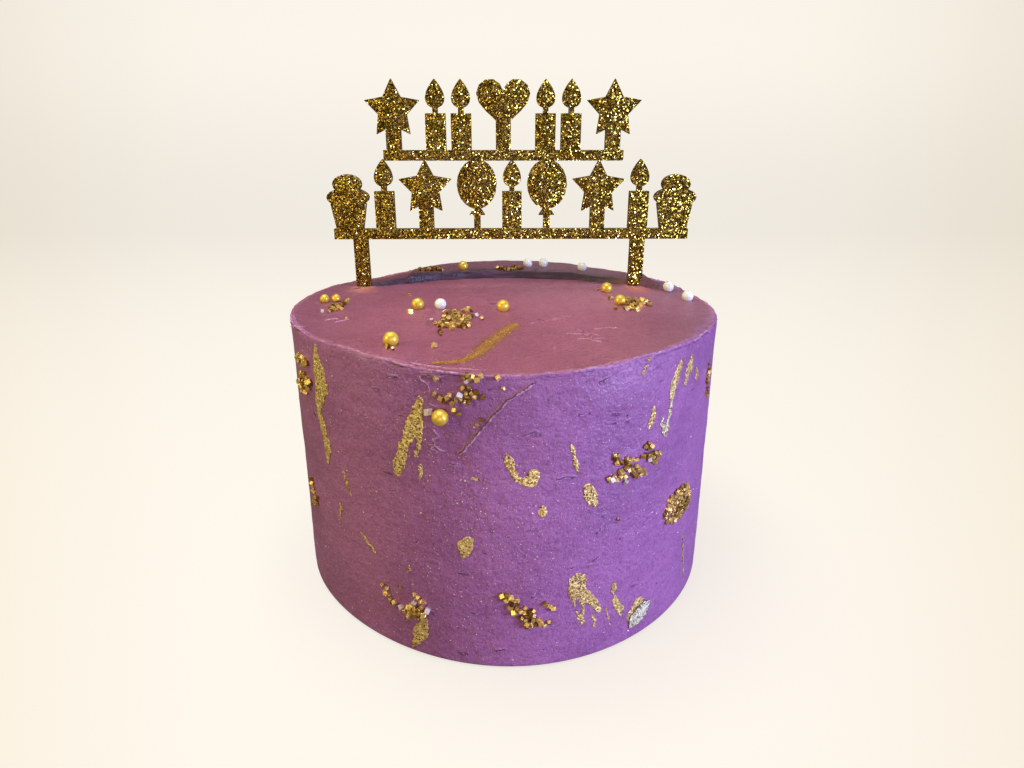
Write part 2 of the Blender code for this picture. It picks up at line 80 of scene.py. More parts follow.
# Swells of the top edge: azimuth, lift and half width in degrees
RIM_SWELLS = (
    (-36, 0.0014, 16),
    (-3, -0.0009, 19),
    (40, 0.0008, 15),
    (77, -0.0009, 13),
    (101, -0.0014, 12),
    (-134, -0.0015, 13),
)
LIFT_START = 0.62
RIM_LUMP = 0.00030
RIM_LUMP_START = 0.965
RIM_PUSH = 0.00022

# Stretches where the side's icing is folded over the edge: azimuth, width and distance
RIM_FOLDS = ((34, 12, 0.0010), (66, 14, 0.0060), (-64, 16, 0.0012), (130, 30, 0.0020))

# Fine lip that the scraper left along the edge
LIP_INSET = 0.0009
LIP_WIDTH = 0.00085
LIP_HEIGHT = 0.00008

# Crease across the front of the side, in azimuths and heights
CREASE = (
    (7.0, 0.1088), (4.0, 0.1065), (0.0, 0.1022), (-3.5, 0.0960), (-8.5, 0.0860), (-10.5, 0.0825),
)
CREASE_STEP = 0.0005


def smooth(value, low, high):
    """0 below low, 1 above high, and an even curve between."""
    share = np.clip((value - low) / (high - low), 0.0, 1.0)
    return share * share * (3.0 - 2.0 * share)


def bell(offset, width):
    """1 at no offset, falling to nothing within about two widths."""
    return np.exp(-((offset / width) ** 2))


def soft_noise(points, cell, seed=0):
    """Random swells between -1 and 1, about one cell wide, at each of the points."""
    scaled = np.asarray(points, float) / cell + 37.0 * seed
    corner = np.floor(scaled).astype(np.int64)
    share = scaled - corner
    share = share * share * (3.0 - 2.0 * share)
    total = np.zeros(len(scaled))
    for step in product((0, 1), repeat=3):
        weight = np.prod(np.where(step, share, 1.0 - share), axis=1)
        key = (corner + step) * (73856093, 19349663, 83492791)
        number = (key[:, 0] ^ key[:, 1] ^ key[:, 2]) & 0xFFFFFFF
        number = ((number ^ (number >> 13)) * 1274126177) & 0xFFFFFFF
        number = ((number ^ (number >> 11)) * 668265263) & 0xFFFFFFF
        total += weight * ((number >> 4 & 0xFFFF) / 32767.5 - 1.0)
    return total


def flat_points(x, y):
    """Points of a plane as rows of x, y and a zero."""
    return np.stack([x, y, np.zeros_like(x)], axis=1)


def ring_points(angle):
    """Points on the plain circle that the cake starts from."""
    return flat_points(np.cos(angle), np.sin(angle)) * CAKE_RADIUS


def degrees_from(angle, azimuth):
    """How far angles lie from an azimuth, between -180 and 180 degrees."""
    return (np.degrees(angle) + 90.0 - azimuth + 180.0) % 360.0 - 180.0


def outline_factor(angle):
    """How far the hand-smoothed outline departs from a true circle."""
    factor = 1.0
    for lobes, cosine, sine in OUTLINE_WAVES:
        factor = factor + cosine * np.cos(lobes * angle) + sine * np.sin(lobes * angle)
    return factor


def side_radius(angle, height):
    """Radius of the iced side at one height."""
    flare = BASE_FLARE + (1.0 - BASE_FLARE) * height / CAKE_HEIGHT
    return CAKE_RADIUS * flare * outline_factor(angle)


def rim_lift(angle):
    """Rise and fall of the top edge on its way round."""
    lift = 0.0
    for azimuth, rise, width in RIM_SWELLS:
        offset = angle - math.radians(azimuth - 90.0)
        offset = (offset + math.pi) % math.tau - math.pi
        lift = lift + rise * bell(offset, math.radians(width))
    return lift


def rim_lump(angle, seed):
    """Short uneven lumps along the edge, from -1 to 1."""
    ring = ring_points(angle)
    return 0.65 * soft_noise(ring, 0.0052, seed) + 0.35 * soft_noise(ring, 0.0021, seed + 1)


def folded_over(angle):
    """How far the side's icing reaches over the edge onto the top."""
    reach = np.zeros_like(angle)
    for azimuth, width, distance in RIM_FOLDS:
        reach = reach + distance * bell(degrees_from(angle, azimuth), width)
    return reach * (1.0 + 0.5 * rim_lump(angle, 57))


def top_height(x, y):
    """Height of the plain top."""
    angle = np.arctan2(y, x)
    reach = np.hypot(x, y) / side_radius(angle, CAKE_HEIGHT)
    lumps = RIM_LUMP * rim_lump(angle, 51) * smooth(reach, RIM_LUMP_START, 1.0)
    return CAKE_HEIGHT + rim_lift(angle) * smooth(reach, LIFT_START, 1.0) + lumps


def beside_line(line, across, up):
    """Signed distance of points from a line, and how far along they lie, from 0 to 1."""
    line = np.asarray(line, float)
    runs = np.hypot(*(line[1:] - line[:-1]).T)
    best = np.full(len(across), 1.0)
    side = np.ones(len(across))
    along = np.zeros(len(across))
    for index, run in enumerate(runs):
        start = line[index]
        heading = (line[index + 1] - start) / run
        dx = across - start[0]
        dy = up - start[1]
        travel = np.clip(dx * heading[0] + dy * heading[1], 0.0, run)
        distance = np.hypot(dx - travel * heading[0], dy - travel * heading[1])
        nearer = distance < best
        best = np.where(nearer, distance, best)
        side = np.where(nearer, np.sign(dx * heading[1] - dy * heading[0]), side)
        along = np.where(nearer, (runs[:index].sum() + travel) / runs.sum(), along)
    return best * side, along


def unrolled(line):
    """A line of azimuths and heights laid flat, in metres."""
    return [(math.radians(azimuth) * CAKE_RADIUS, height) for azimuth, height in line]


def side_relief(angle, height):
    """How far the side stands proud of its outline, from the strokes of the scraper."""
    x = CAKE_RADIUS * np.cos(angle)
    y = CAKE_RADIUS * np.sin(angle)
    swipe = np.stack([0.3 * x, 0.3 * y, height], axis=1)
    plain = np.stack([x, y, height], axis=1)
    relief = 0.00020 * soft_noise(swipe, 0.011, 1) + 0.00008 * soft_noise(swipe, 0.0042, 2)
    relief = relief + 0.00026 * soft_noise(plain, 0.034, 3)
    across = ((angle + 1.5 * math.pi) % math.tau - math.pi) * CAKE_RADIUS
    crease, along = beside_line(unrolled(CREASE), across, height)
    raised = smooth(-crease, -0.0008, 0.0006) * (1.0 - smooth(-crease, 0.002, 0.014))
    ends = smooth(along, 0.0, 0.12) * (1.0 - smooth(along, 0.92, 1.0))
    relief = relief + CREASE_STEP * raised * ends
    relief = relief * smooth(height, 0.0, 0.006) * (1.0 - smooth(height, 0.1085, CAKE_HEIGHT))
    return relief + RIM_PUSH * rim_lump(angle, 53) * smooth(height, 0.1060, 0.1095)


def top_relief(x, y):
    """Low swells of the top, and the collars pushed up round the two stakes."""
    plain = flat_points(x, y)
    relief = 0.00016 * soft_noise(plain, 0.021, 4) + 0.00006 * soft_noise(plain, 0.006, 5)
    for stake_x in STAKE_X:
        aside = np.hypot((x - stake_x) * 0.8, 1.3 * (y - TOPPER_Y))
        relief = relief + STAKE_COLLAR * bell(aside - COLLAR_REACH, COLLAR_WIDTH)
    inset = side_radius(np.arctan2(y, x), CAKE_HEIGHT) - np.hypot(x, y)
    return relief * smooth(inset, 0.001, 0.005)


def rim_lip(angle, inset):
    """Rise of the fine lip along the edge, uneven on its way round."""
    ring = ring_points(angle)
    uneven = 0.55 + 0.45 * soft_noise(ring, 0.009, 6) + 0.25 * soft_noise(ring, 0.0025, 7)
    place = LIP_INSET + 0.0004 * soft_noise(ring, 0.012, 8)
    return np.clip(uneven, 0.05, 1.2) * bell(inset - place, LIP_WIDTH)


TOPPER_Y = 0.0301
STAKE_X = (-0.0633, 0.0582)
STAKE_COLLAR = 0.0004
COLLAR_REACH = 0.0034
COLLAR_WIDTH = 0.0011
GLOW_DROP = 0.006
GLOW_WIDTH = 0.0055


def reach_out(x, y):
    """Share of the way from the centre of the top to its edge, counted along x."""
    return np.hypot(x, np.where(y > 0.0, 0.6, 0.35) * y) / CAKE_RADIUS


def stake_glow(x, y):
    """Warm light that the gold stakes throw on the icing in front of them."""
    glow = 0.0
    for stake_x in STAKE_X:
        aside = np.hypot(x - stake_x, 0.8 * (y - TOPPER_Y + GLOW_DROP))
        glow = glow + bell(aside, GLOW_WIDTH) * (y < TOPPER_Y - 0.0005)
    return 0.8 * glow


def select_edges(piece, wanted):
    """Go to edit mode with only the edges selected whose two ends pass a test."""
    bpy.ops.object.mode_set(mode="EDIT")
    bpy.ops.mesh.select_mode(type="EDGE")
    bpy.ops.mesh.select_all(action="DESELECT")
    bpy.ops.object.mode_set(mode="OBJECT")
    places = [vertex.co.copy() for vertex in piece.data.vertices]
    for edge in piece.data.edges:
        first, second = edge.vertices
        edge.select = wanted(places[first], places[second])
    bpy.ops.object.mode_set(mode="EDIT")


def close_end(piece, height, rings):
    """Draw one open end of a cylinder in to its centre, in even rings."""
    tiny = 1e-6
    select_edges(piece, lambda a, b: abs(a.z - height) < tiny and abs(b.z - height) < tiny)
    bpy.ops.mesh.extrude_edges_move()
    bpy.ops.transform.resize(value=(0.002, 0.002, 1.0))
    select_edges(
        piece,
        lambda a, b: abs(a.z - height) < tiny
        and abs(b.z - height) < tiny
        and abs(a.xy.length - b.xy.length) > 0.5 * CAKE_RADIUS,
    )
    bpy.ops.mesh.subdivide(number_cuts=rings - 1)
    reach = 0.5 * CAKE_RADIUS / rings
    select_edges(
        piece,
        lambda a, b: abs(a.z - height) < tiny and a.xy.length < reach and b.xy.length < reach,
    )
    bpy.ops.mesh.merge(type="CENTER")
    bpy.ops.object.mode_set(mode="OBJECT")


def read_places(piece):
    """All vertex places of a mesh as rows of x, y and z."""
    places = np.empty(3 * len(piece.data.vertices), np.float32)
    piece.data.vertices.foreach_get("co", places)
    return places.reshape(-1, 3).astype(float)


def write_places(piece, places):
    """Move the vertices of a mesh to new places."""
    piece.data.vertices.foreach_set("co", np.asarray(places, np.float32).ravel())
    piece.data.update()


def write_attribute(piece, name, values):
    """Store one number for each vertex, for the material to read."""
    attribute = piece.data.attributes.new(name, "FLOAT", "POINT")
    attribute.data.foreach_set("value", np.asarray(values, np.float32))


def thicken(piece, thickness):
    """Give the active sheet of faces a thickness behind them."""
    bpy.ops.object.modifier_add(type="SOLIDIFY")
    piece.modifiers[-1].thickness = thickness
    piece.modifiers[-1].offset = -1.0
    bpy.ops.object.modifier_apply(modifier=piece.modifiers[-1].name)


def wall_profile():
    """Height and inset of each row from the foot's rounding up to the edge's."""
    rows = []
    for step in range(ARC_ROWS):
        turn = 0.5 * math.pi * step / ARC_ROWS
        rows.append((FOOT_ROUND * (1 - math.cos(turn)), FOOT_ROUND * (1 - math.sin(turn))))
    straight = SIDE_ROWS - 2 * ARC_ROWS
    shoulder = CAKE_HEIGHT - RIM_ROUND
    for step in range(straight + 1):
        rows.append((FOOT_ROUND + (shoulder - FOOT_ROUND) * step / straight, 0.0))
    for step in range(1, ARC_ROWS + 1):
        turn = 0.5 * math.pi * step / ARC_ROWS
        rows.append((shoulder + RIM_ROUND * math.sin(turn), RIM_ROUND * (1 - math.cos(turn))))
    return np.array(rows)


bpy.ops.object.select_all(action="DESELECT")
bpy.ops.mesh.primitive_cylinder_add(
    vertices=COLUMNS,
    radius=CAKE_RADIUS,
    depth=CAKE_HEIGHT,
    end_fill_type="NOTHING",
    location=(0.0, 0.0, 0.5 * CAKE_HEIGHT),
)
bpy.ops.object.transform_apply(location=True, rotation=True, scale=True)
icing = bpy.context.object
icing.name = "icing"
select_edges(icing, lambda a, b: abs(a.z - b.z) > 0.5 * CAKE_HEIGHT)
bpy.ops.mesh.subdivide(number_cuts=SIDE_ROWS - 1)
bpy.ops.object.mode_set(mode="OBJECT")
close_end(icing, CAKE_HEIGHT, TOP_RINGS)
close_end(icing, 0.0, 4)

places = read_places(icing)
angle = np.arctan2(places[:, 1], places[:, 0])
reach = np.hypot(places[:, 0], places[:, 1]) / CAKE_RADIUS
on_wall = reach > 0.9995
on_roof = ~on_wall & (places[:, 2] > 0.5 * CAKE_HEIGHT)

profile = wall_profile()
row = np.rint(places[:, 2] / CAKE_HEIGHT * SIDE_ROWS).astype(int)
wall_height, wall_inset = profile[row].T
wall_radius = side_radius(angle, wall_height) - wall_inset + side_relief(angle, wall_height)
wall_lift = rim_lift(angle) * smooth(wall_height, 0.5 * CAKE_HEIGHT, CAKE_HEIGHT)
wall_lift = wall_lift + RIM_LUMP * rim_lump(angle, 51) * smooth(wall_height, 0.1070, CAKE_HEIGHT)

ring = np.rint((1.0 - reach) * TOP_RINGS)
roof_edge = side_radius(angle, CAKE_HEIGHT) - RIM_ROUND
roof_radius = roof_edge * (1.0 - np.clip(ring / TOP_RINGS, 0.0, 1.0) ** RING_SPREAD)
roof_x = roof_radius * np.cos(angle)
roof_y = roof_radius * np.sin(angle)
roof_inset = roof_edge + RIM_ROUND - roof_radius
lip = rim_lip(angle, roof_inset)
roof_z = top_height(roof_x, roof_y) + LIP_HEIGHT * lip
roof_z = roof_z + top_relief(roof_x, roof_y)

radius = np.where(on_wall, wall_radius, np.where(on_roof, roof_radius, CAKE_RADIUS * reach))
height = np.where(on_wall, wall_height + wall_lift, np.where(on_roof, roof_z, 0.0))
write_places(icing, np.stack([radius * np.cos(angle), radius * np.sin(angle), height], axis=1))

fold = folded_over(angle)
roof = smooth((roof_inset - RIM_ROUND) / (fold + 0.0003), 0.2, 1.0)
on_bend = smooth(wall_inset, 0.0, RIM_ROUND) * (fold < 0.0004)
write_attribute(icing, "roof", np.where(on_wall, on_bend, on_roof * np.where(fold < 0.0004, 1.0, roof)))
# The lip also sets a painted highlight along it: full on the top, weaker on the rounding of the edge.
write_attribute(icing, "lip", 0.5 * np.where(on_roof, lip, np.where(wall_inset > 0, 0.4 * lip, 0.0)))
# Painted shade: the top darkens towards its left and right edges, less towards the back and least towards
# the front.
write_attribute(icing, "outward_shade", 0.75 * smooth(reach_out(roof_x, roof_y), 0.35, 1.0))
write_attribute(icing, "glow", stake_glow(roof_x, roof_y))

bpy.ops.object.mode_set(mode="EDIT")
bpy.ops.mesh.select_all(action="SELECT")
bpy.ops.mesh.normals_make_consistent(inside=False)
bpy.ops.object.mode_set(mode="OBJECT")
icing.data.shade_smooth()

ICING_SIDE_DEEP = (0.300, 0.100, 0.300)
ICING_SIDE_LIGHT = (0.400, 0.142, 0.395)
ICING_TOP_DEEP = (0.330, 0.088, 0.165)
ICING_TOP_LIGHT = (0.425, 0.126, 0.225)
ICING_TOP_EDGE_SHADE = (0.245, 0.080, 0.158)
ICING_GLOW = (0.84, 0.31, 0.26)
# Painted highlight along the lips, burrs and crumbs:
ICING_LIP_HIGHLIGHT = (0.66, 0.36, 0.62)
# Painted shade in the dips of the peel and in nicks, pores and cracks:
ICING_SHADE = (0.075, 0.020, 0.065)
ICING_GLINT_HIGHLIGHT = (0.80, 0.50, 0.72)


def feed(tree, node, sockets):
    """Give each named socket of a node its value, or link it to an output."""
    for name, value in sockets.items():
        if isinstance(value, bpy.types.NodeSocket):
            tree.links.new(value, node.inputs[name])
        else:
            node.inputs[name].default_value = value


def add_node(tree, kind, sockets, **settings):
    """Add a node with its settings and feed its sockets."""
    made = tree.nodes.new(kind)
    for name, value in settings.items():
        setattr(made, name, value)
    feed(tree, made, sockets)
    return made


def new_material(name):
    """A material with nodes, and its tree, Principled shader and Object coordinates."""
    material = bpy.data.materials.new(name)
    material.use_nodes = True
    tree = material.node_tree
    coordinates = add_node(tree, "ShaderNodeTexCoord", {}).outputs["Object"]
    return material, tree, tree.nodes["Principled BSDF"], coordinates


def give_material(piece, *materials):
    """Leave only these materials on a piece."""
    piece.data.materials.clear()
    for material in materials:
        piece.data.materials.append(material)


def noise_value(tree, vector, scale, detail=2.0, roughness=0.5):
    """Plain noise from 0 to 1; its scale is in features for each metre."""
    sockets = {"Vector": vector, "Scale": scale, "Detail": detail, "Roughness": roughness}
    return add_node(tree, "ShaderNodeTexNoise", sockets).outputs["Fac"]


def cell_noise(tree, vector, scale):
    """Random cells: the distance to the middle, the cell's colour and the red in it."""
    sockets = {"Vector": vector, "Scale": scale, "Randomness": 1.0}
    cells = add_node(tree, "ShaderNodeTexVoronoi", sockets).outputs
    parts = add_node(tree, "ShaderNodeSeparateColor", {"Color": cells["Color"]})
    return cells["Distance"], cells["Color"], parts.outputs["Red"]


def stretched(tree, vector, scale):
    """Coordinates stretched or squeezed along each axis."""
    return add_node(tree, "ShaderNodeMapping", {"Vector": vector, "Scale": scale}).outputs[0]


def ramp(tree, value, low, high, from_value=0.0, to_value=1.0):
    """An even step of a value, as a number that may run either way."""
    sockets = {"Value": value, "From Min": low, "From Max": high}
    sockets.update({"To Min": from_value, "To Max": to_value})
    made = add_node(tree, "ShaderNodeMapRange", sockets, interpolation_type="SMOOTHSTEP")
    return made.outputs["Result"]


def maths(tree, operation, first, second=0.0):
    """One sum on two numbers."""
    sockets = {0: first, 1: second}
    return add_node(tree, "ShaderNodeMath", sockets, operation=operation).outputs[0]


def vector_maths(tree, operation, sockets):
    """One sum on vectors."""
    return add_node(tree, "ShaderNodeVectorMath", sockets, operation=operation).outputs[0]


def blend_colours(tree, factor, first, second):
    """Mix of two colours, each a triple or a socket."""
    sockets = {0: factor, 6: first, 7: second}
    for index in (6, 7):
        if not isinstance(sockets[index], bpy.types.NodeSocket):
            sockets[index] = (*sockets[index], 1.0)
    return add_node(tree, "ShaderNodeMix", sockets, data_type="RGBA").outputs[2]


def read_attribute(tree, name):
    """A number stored on the vertices."""
    return add_node(tree, "ShaderNodeAttribute", {}, attribute_name=name).outputs["Fac"]


def bump(tree, height, distance, normal=None, strength=1.0):
    """Bump of a height in metres."""
    sockets = {"Height": height, "Distance": distance, "Strength": strength}
    if normal is not None:
        sockets["Normal"] = normal
    return add_node(tree, "ShaderNodeBump", sockets).outputs["Normal"]


def buttercream(name):
    """Smoothed buttercream: uneven tone, grain, pores, nicks, cracks and a soft sheen, with painted shade in
    the pores, nicks, cracks, dips of the peel and outer top, painted light from the stakes, painted
    highlights on the lips and painted glints in the grain.
    """
    material, tree, shader, place = new_material(name)
    swipe = stretched(tree, place, (0.25, 0.25, 1.0))
    tone = noise_value(tree, place, 24.0, 3.0)
    mottle = noise_value(tree, place, 240.0, 3.0)
    strokes = noise_value(tree, swipe, 330.0, 4.0, 0.6)
    peel = noise_value(tree, place, 900.0, 2.0, 0.6)
    grain = noise_value(tree, place, 2400.0, 1.0)

    roof = read_attribute(tree, "roof")
    tone = maths(tree, "ADD", tone, maths(tree, "MULTIPLY", mottle, 0.35))
    tone = maths(tree, "ADD", tone, maths(tree, "MULTIPLY", peel, 0.35))
    tone = ramp(tree, tone, 0.62, 1.08)
    side = blend_colours(tree, tone, ICING_SIDE_DEEP, ICING_SIDE_LIGHT)
    top = blend_colours(tree, tone, ICING_TOP_DEEP, ICING_TOP_LIGHT)
    # Painted shade towards the outer parts of the top.
    top = blend_colours(tree, read_attribute(tree, "outward_shade"), top, ICING_TOP_EDGE_SHADE)
    top = blend_colours(tree, read_attribute(tree, "glow"), top, ICING_GLOW)
    colour = blend_colours(tree, roof, side, top)
    # Painted shade in the dips of the peel.
    colour = blend_colours(tree, ramp(tree, peel, 0.50, 0.36, 0.0, 0.22), colour, ICING_SHADE)
    # Painted glints: pale specks where the fine grain peaks.
    glint_highlight = maths(tree, "MULTIPLY", ramp(tree, grain, 0.66, 0.74), 0.5)
    colour = blend_colours(tree, glint_highlight, colour, ICING_GLINT_HIGHLIGHT)

    nick = noise_value(tree, stretched(tree, place, (0.3, 0.3, 1.0)), 330.0, 1.0)
    nick = maths(tree, "MULTIPLY", ramp(tree, nick, 0.765, 0.785), ramp(tree, mottle, 0.4, 0.5))
    distance, _, rare = cell_noise(tree, place, 230.0)
    pore = ramp(tree, distance, 0.04, 0.13, 1.0, 0.0)
    pore = maths(tree, "MULTIPLY", pore, ramp(tree, rare, 0.90, 0.93))
    marks = maths(tree, "MAXIMUM", maths(tree, "MULTIPLY", nick, 0.7), pore)

    # Painted shade along the grooves of the strips, made ragged by the peel.
    offset = read_attribute(tree, "line_offset")
    ragged = maths(tree, "MULTIPLY", maths(tree, "SUBTRACT", peel, 0.5), 0.0009)
    offset = maths(tree, "ADD", offset, ragged)
    crack = ramp(tree, maths(tree, "ABSOLUTE", offset), 0.00008, 0.00028, 1.0, 0.0)
    crack = maths(tree, "MULTIPLY", crack, read_attribute(tree, "line_strength"))
    crack = maths(tree, "MULTIPLY", crack, ramp(tree, mottle, 0.34, 0.50, 0.45, 1.0))
    marks = maths(tree, "MAXIMUM", marks, crack)

    # Painted highlight along the lips and crumbs, broken by the peel.
    broken = ramp(tree, peel, 0.38, 0.56, 0.2, 0.95)
    lip_highlight = maths(tree, "MULTIPLY", read_attribute(tree, "lip"), broken)
    colour = blend_colours(tree, lip_highlight, colour, ICING_LIP_HIGHLIGHT)
    # The marks paint shade into the nicks, pores and cracks; below they also dent the bump.
    colour = blend_colours(tree, maths(tree, "MULTIPLY", marks, 0.75), colour, ICING_SHADE)

    normal = bump(tree, mottle, 0.0006)
    normal = bump(tree, strokes, 0.00022, normal)
    normal = bump(tree, peel, 0.00030, normal)
    normal = bump(tree, grain, 0.00007, normal)
    normal = bump(tree, maths(tree, "SUBTRACT", 1.0, marks), 0.0004, normal)
    feed(tree, shader, {
        "Base Color": colour,
        "Roughness": ramp(tree, strokes, 0.3, 0.7, 0.36, 0.50),
        "Normal": normal,
        "Subsurface Weight": 0.08,
        "Subsurface Radius": (0.003, 0.0014, 0.0022),
        "Subsurface Scale": 0.4,
        "Specular IOR Level": 0.5,
    })
    return material


icing_and_painted_light = buttercream("icing_and_painted_light")
give_material(icing, icing_and_painted_light)
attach(icing, "root")
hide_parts("cake")

# Bank of icing
# A low ledge of the same icing, pushed up along the back of the top by the last stroke of the
# scraper. It is one strip of cross sections, with a steep front and a slope to the edge. Its
# material paints shade over it: deep shade on the front, weaker towards the right end, and a
# lighter shade on the crest and slope.
BANK_LEFT = -0.069
BANK_RIGHT = 0.075
BANK_LEFT_FADE = 0.022
BANK_RIGHT_FADE = 0.014
BANK_FRONT_Y = 0.0455
BANK_FRONT_RADIUS = 0.104
BANK_RISE = 0.0033
BANK_LEAST_RISE = 0.0002
BANK_WALL = 0.0014
BANK_CREST = 0.002
BANK_SLOPE = 0.003
BANK_SLOPE_START = 0.84
BANK_SLOPE_END = 0.975
BANK_SINK = 0.0006
BANK_THICKNESS = 0.004
BANK_TAPER = 0.003
BANK_STATIONS = 260
BANK_COURSES = 64

# Changes along the bank: centre x, half width and rise
BANK_CHANGES = ((0.045, 0.009, -0.0010), (0.0620, 0.0040, 0.0016))
BANK_STEP = (-0.0462, -0.0438)


def bank_front(x):
    """Foot of the bank's front wall, an arc across the top."""
    return BANK_FRONT_Y - x * x / (2.0 * BANK_FRONT_RADIUS)


def bank_rise(x):
    """Height of the bank above the top, fading out at both ends."""
    rise = BANK_RISE * smooth(x, BANK_LEFT, BANK_LEFT + BANK_LEFT_FADE)
    rise = rise * (1.0 - smooth(x, BANK_RIGHT - BANK_RIGHT_FADE, BANK_RIGHT))
    rise = rise * (0.55 + 0.45 * smooth(x, *BANK_STEP))
    for centre, width, change in BANK_CHANGES:
        rise = rise + change * bell(x - centre, width)
    return np.maximum(rise, BANK_LEAST_RISE)


def circle_y(x, share):
    """Depth of a point at x on the outline shrunk to a share of itself."""
    y = np.sqrt(np.maximum(0.0, (CAKE_RADIUS * share) ** 2 - x * x))
    factor = outline_factor(np.arctan2(y, x))
    return np.sqrt(np.maximum(0.0, (CAKE_RADIUS * share * factor) ** 2 - x * x))


def bank_marks(x):
    """Depths of the bank's foot, wall top, slope start and slope end at x."""
    foot = bank_front(x)
    wall_top = foot + BANK_WALL
    slope_end = np.maximum(circle_y(x, BANK_SLOPE_END), wall_top + BANK_CREST + BANK_SLOPE)
    slope_start = np.maximum(circle_y(x, BANK_SLOPE_START), wall_top + BANK_CREST)
    return foot, wall_top, np.minimum(slope_start, slope_end - BANK_SLOPE), slope_end


def icing_height(x, y):
    """Height of the icing at points of the top, the bank included."""
    x = np.asarray(x, float)
    y = np.asarray(y, float)
    level = top_height(x, y)
    foot, wall_top, slope_start, slope_end = bank_marks(np.clip(x, BANK_LEFT, BANK_RIGHT))
    up = smooth((y - foot) / (wall_top - foot), 0.0, 1.0)
    down = 1.0 - smooth((y - slope_start) / (slope_end - slope_start), 0.0, 1.0)
    inside = (x > BANK_LEFT) & (x < BANK_RIGHT)
    return level + np.where(inside, bank_rise(x) * up * down, 0.0)


bpy.ops.object.select_all(action="DESELECT")
bpy.ops.mesh.primitive_grid_add(
    x_subdivisions=BANK_STATIONS, y_subdivisions=BANK_COURSES, size=1.0
)
bank = bpy.context.object
bank.name = "icing_bank"
places = read_places(bank)
bank_x = BANK_LEFT + (BANK_RIGHT - BANK_LEFT) * (places[:, 0] + 0.5)
course = places[:, 1] + 0.5
foot, wall_top, slope_start, slope_end = bank_marks(bank_x)
stops = np.stack([foot, wall_top, slope_start, slope_end], axis=1)
shares = np.array([0.0, 0.3, 0.7, 1.0])
bank_y = np.zeros(len(bank_x))
for index in range(3):
    inside = (course >= shares[index]) & (course <= shares[index + 1])
    travel = (course - shares[index]) / (shares[index + 1] - shares[index])
    between = stops[:, index] + (stops[:, index + 1] - stops[:, index]) * travel
    bank_y = np.where(inside, between, bank_y)
plain = flat_points(bank_x, bank_y)
wavy = 0.0005 * soft_noise(plain * (1.0, 0.2, 1.0), 0.006, 11)
bank_y = bank_y + wavy * (1.0 - smooth(course, 0.3, 0.6))
lift = icing_height(bank_x, bank_y - wavy * (1.0 - smooth(course, 0.3, 0.6)))
lift = lift + (0.00025 * soft_noise(plain, 0.011, 12)) * smooth(course, 0.2, 0.5)
lift = lift + 0.00012 * soft_noise(plain, 0.0035, 13) * smooth(course, 0.0, 0.3)
sunk = np.maximum(smooth(0.02 - course, 0.0, 0.02), smooth(course, 0.94, 1.0))
ends = 1.0 - smooth(bank_x, BANK_LEFT, BANK_LEFT + BANK_TAPER) * (
    1.0 - smooth(bank_x, BANK_RIGHT - BANK_TAPER, BANK_RIGHT)
)
bank_z = lift + 0.0001 - BANK_SINK * np.maximum(sunk, ends)
write_places(bank, np.stack([bank_x, bank_y, bank_z], axis=1))
write_attribute(bank, "roof", np.ones(len(bank_x)))
write_attribute(bank, "lip", np.zeros(len(bank_x)))
# Share of painted shade on the front wall, weaker towards the right end.
wall = 1.0 - smooth(course + 0.05 * soft_noise(plain, 0.007, 14), 0.30, 0.44)
write_attribute(bank, "wall", wall * (1.0 - 0.7 * smooth(bank_x, 0.040, 0.056)))
thicken(bank, BANK_THICKNESS)
bank.data.shade_smooth()

# Painted shade of the front wall, with lighter streaks in it, and of the crest:
BANK_WALL_SHADE = (0.032, 0.013, 0.034)
BANK_WALL_SHADE_STREAK = (0.100, 0.044, 0.090)
BANK_CREST_SHADE = (0.13, 0.048, 0.095)

bank_icing_and_shade = buttercream("bank_icing_and_shade")
tree = bank_icing_and_shade.node_tree
shader = tree.nodes["Principled BSDF"]
plain_colour = shader.inputs["Base Color"].links[0].from_socket
object_place = tree.nodes["Texture Coordinate"].outputs["Object"]
drawn_out = stretched(tree, object_place, (0.2, 1.0, 2.0))
streaks = ramp(tree, noise_value(tree, drawn_out, 420.0, 3.0), 0.45, 0.7)
# Painted shade over the crest and slope, and deeper over the front wall.
crest_shade = blend_colours(tree, 0.75, plain_colour, BANK_CREST_SHADE)
wall_shade = blend_colours(tree, streaks, BANK_WALL_SHADE, BANK_WALL_SHADE_STREAK)
wall_shade_share = maths(tree, "MULTIPLY", read_attribute(tree, "wall"), 0.92)
bank_colour = blend_colours(tree, wall_shade_share, crest_shade, wall_shade)
tree.links.new(bank_colour, shader.inputs["Base Color"])
give_material(bank, bank_icing_and_shade)
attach(bank, "root")

# Marks in the icing
# Cracks, creases, nicks and the torn edge that the scraper left. Each is a fine strip of the
# same icing, let into the surface, with a groove on one side of its line and a lip on the other;
# the material paints shade along the groove and a highlight along the lip.
STRIP_STEP = 0.0003
STRIP_HALF = 0.0012
STRIP_COURSES = 18
GROOVE_PLACE = -0.00005
GROOVE_WIDTH = 0.00016
LIP_PLACE = 0.00034
LIP_SPREAD = 0.00020
STRIP_PROUD = 0.00003
STRIP_SUNK = 0.00008
STRIP_WANDER = 0.00018

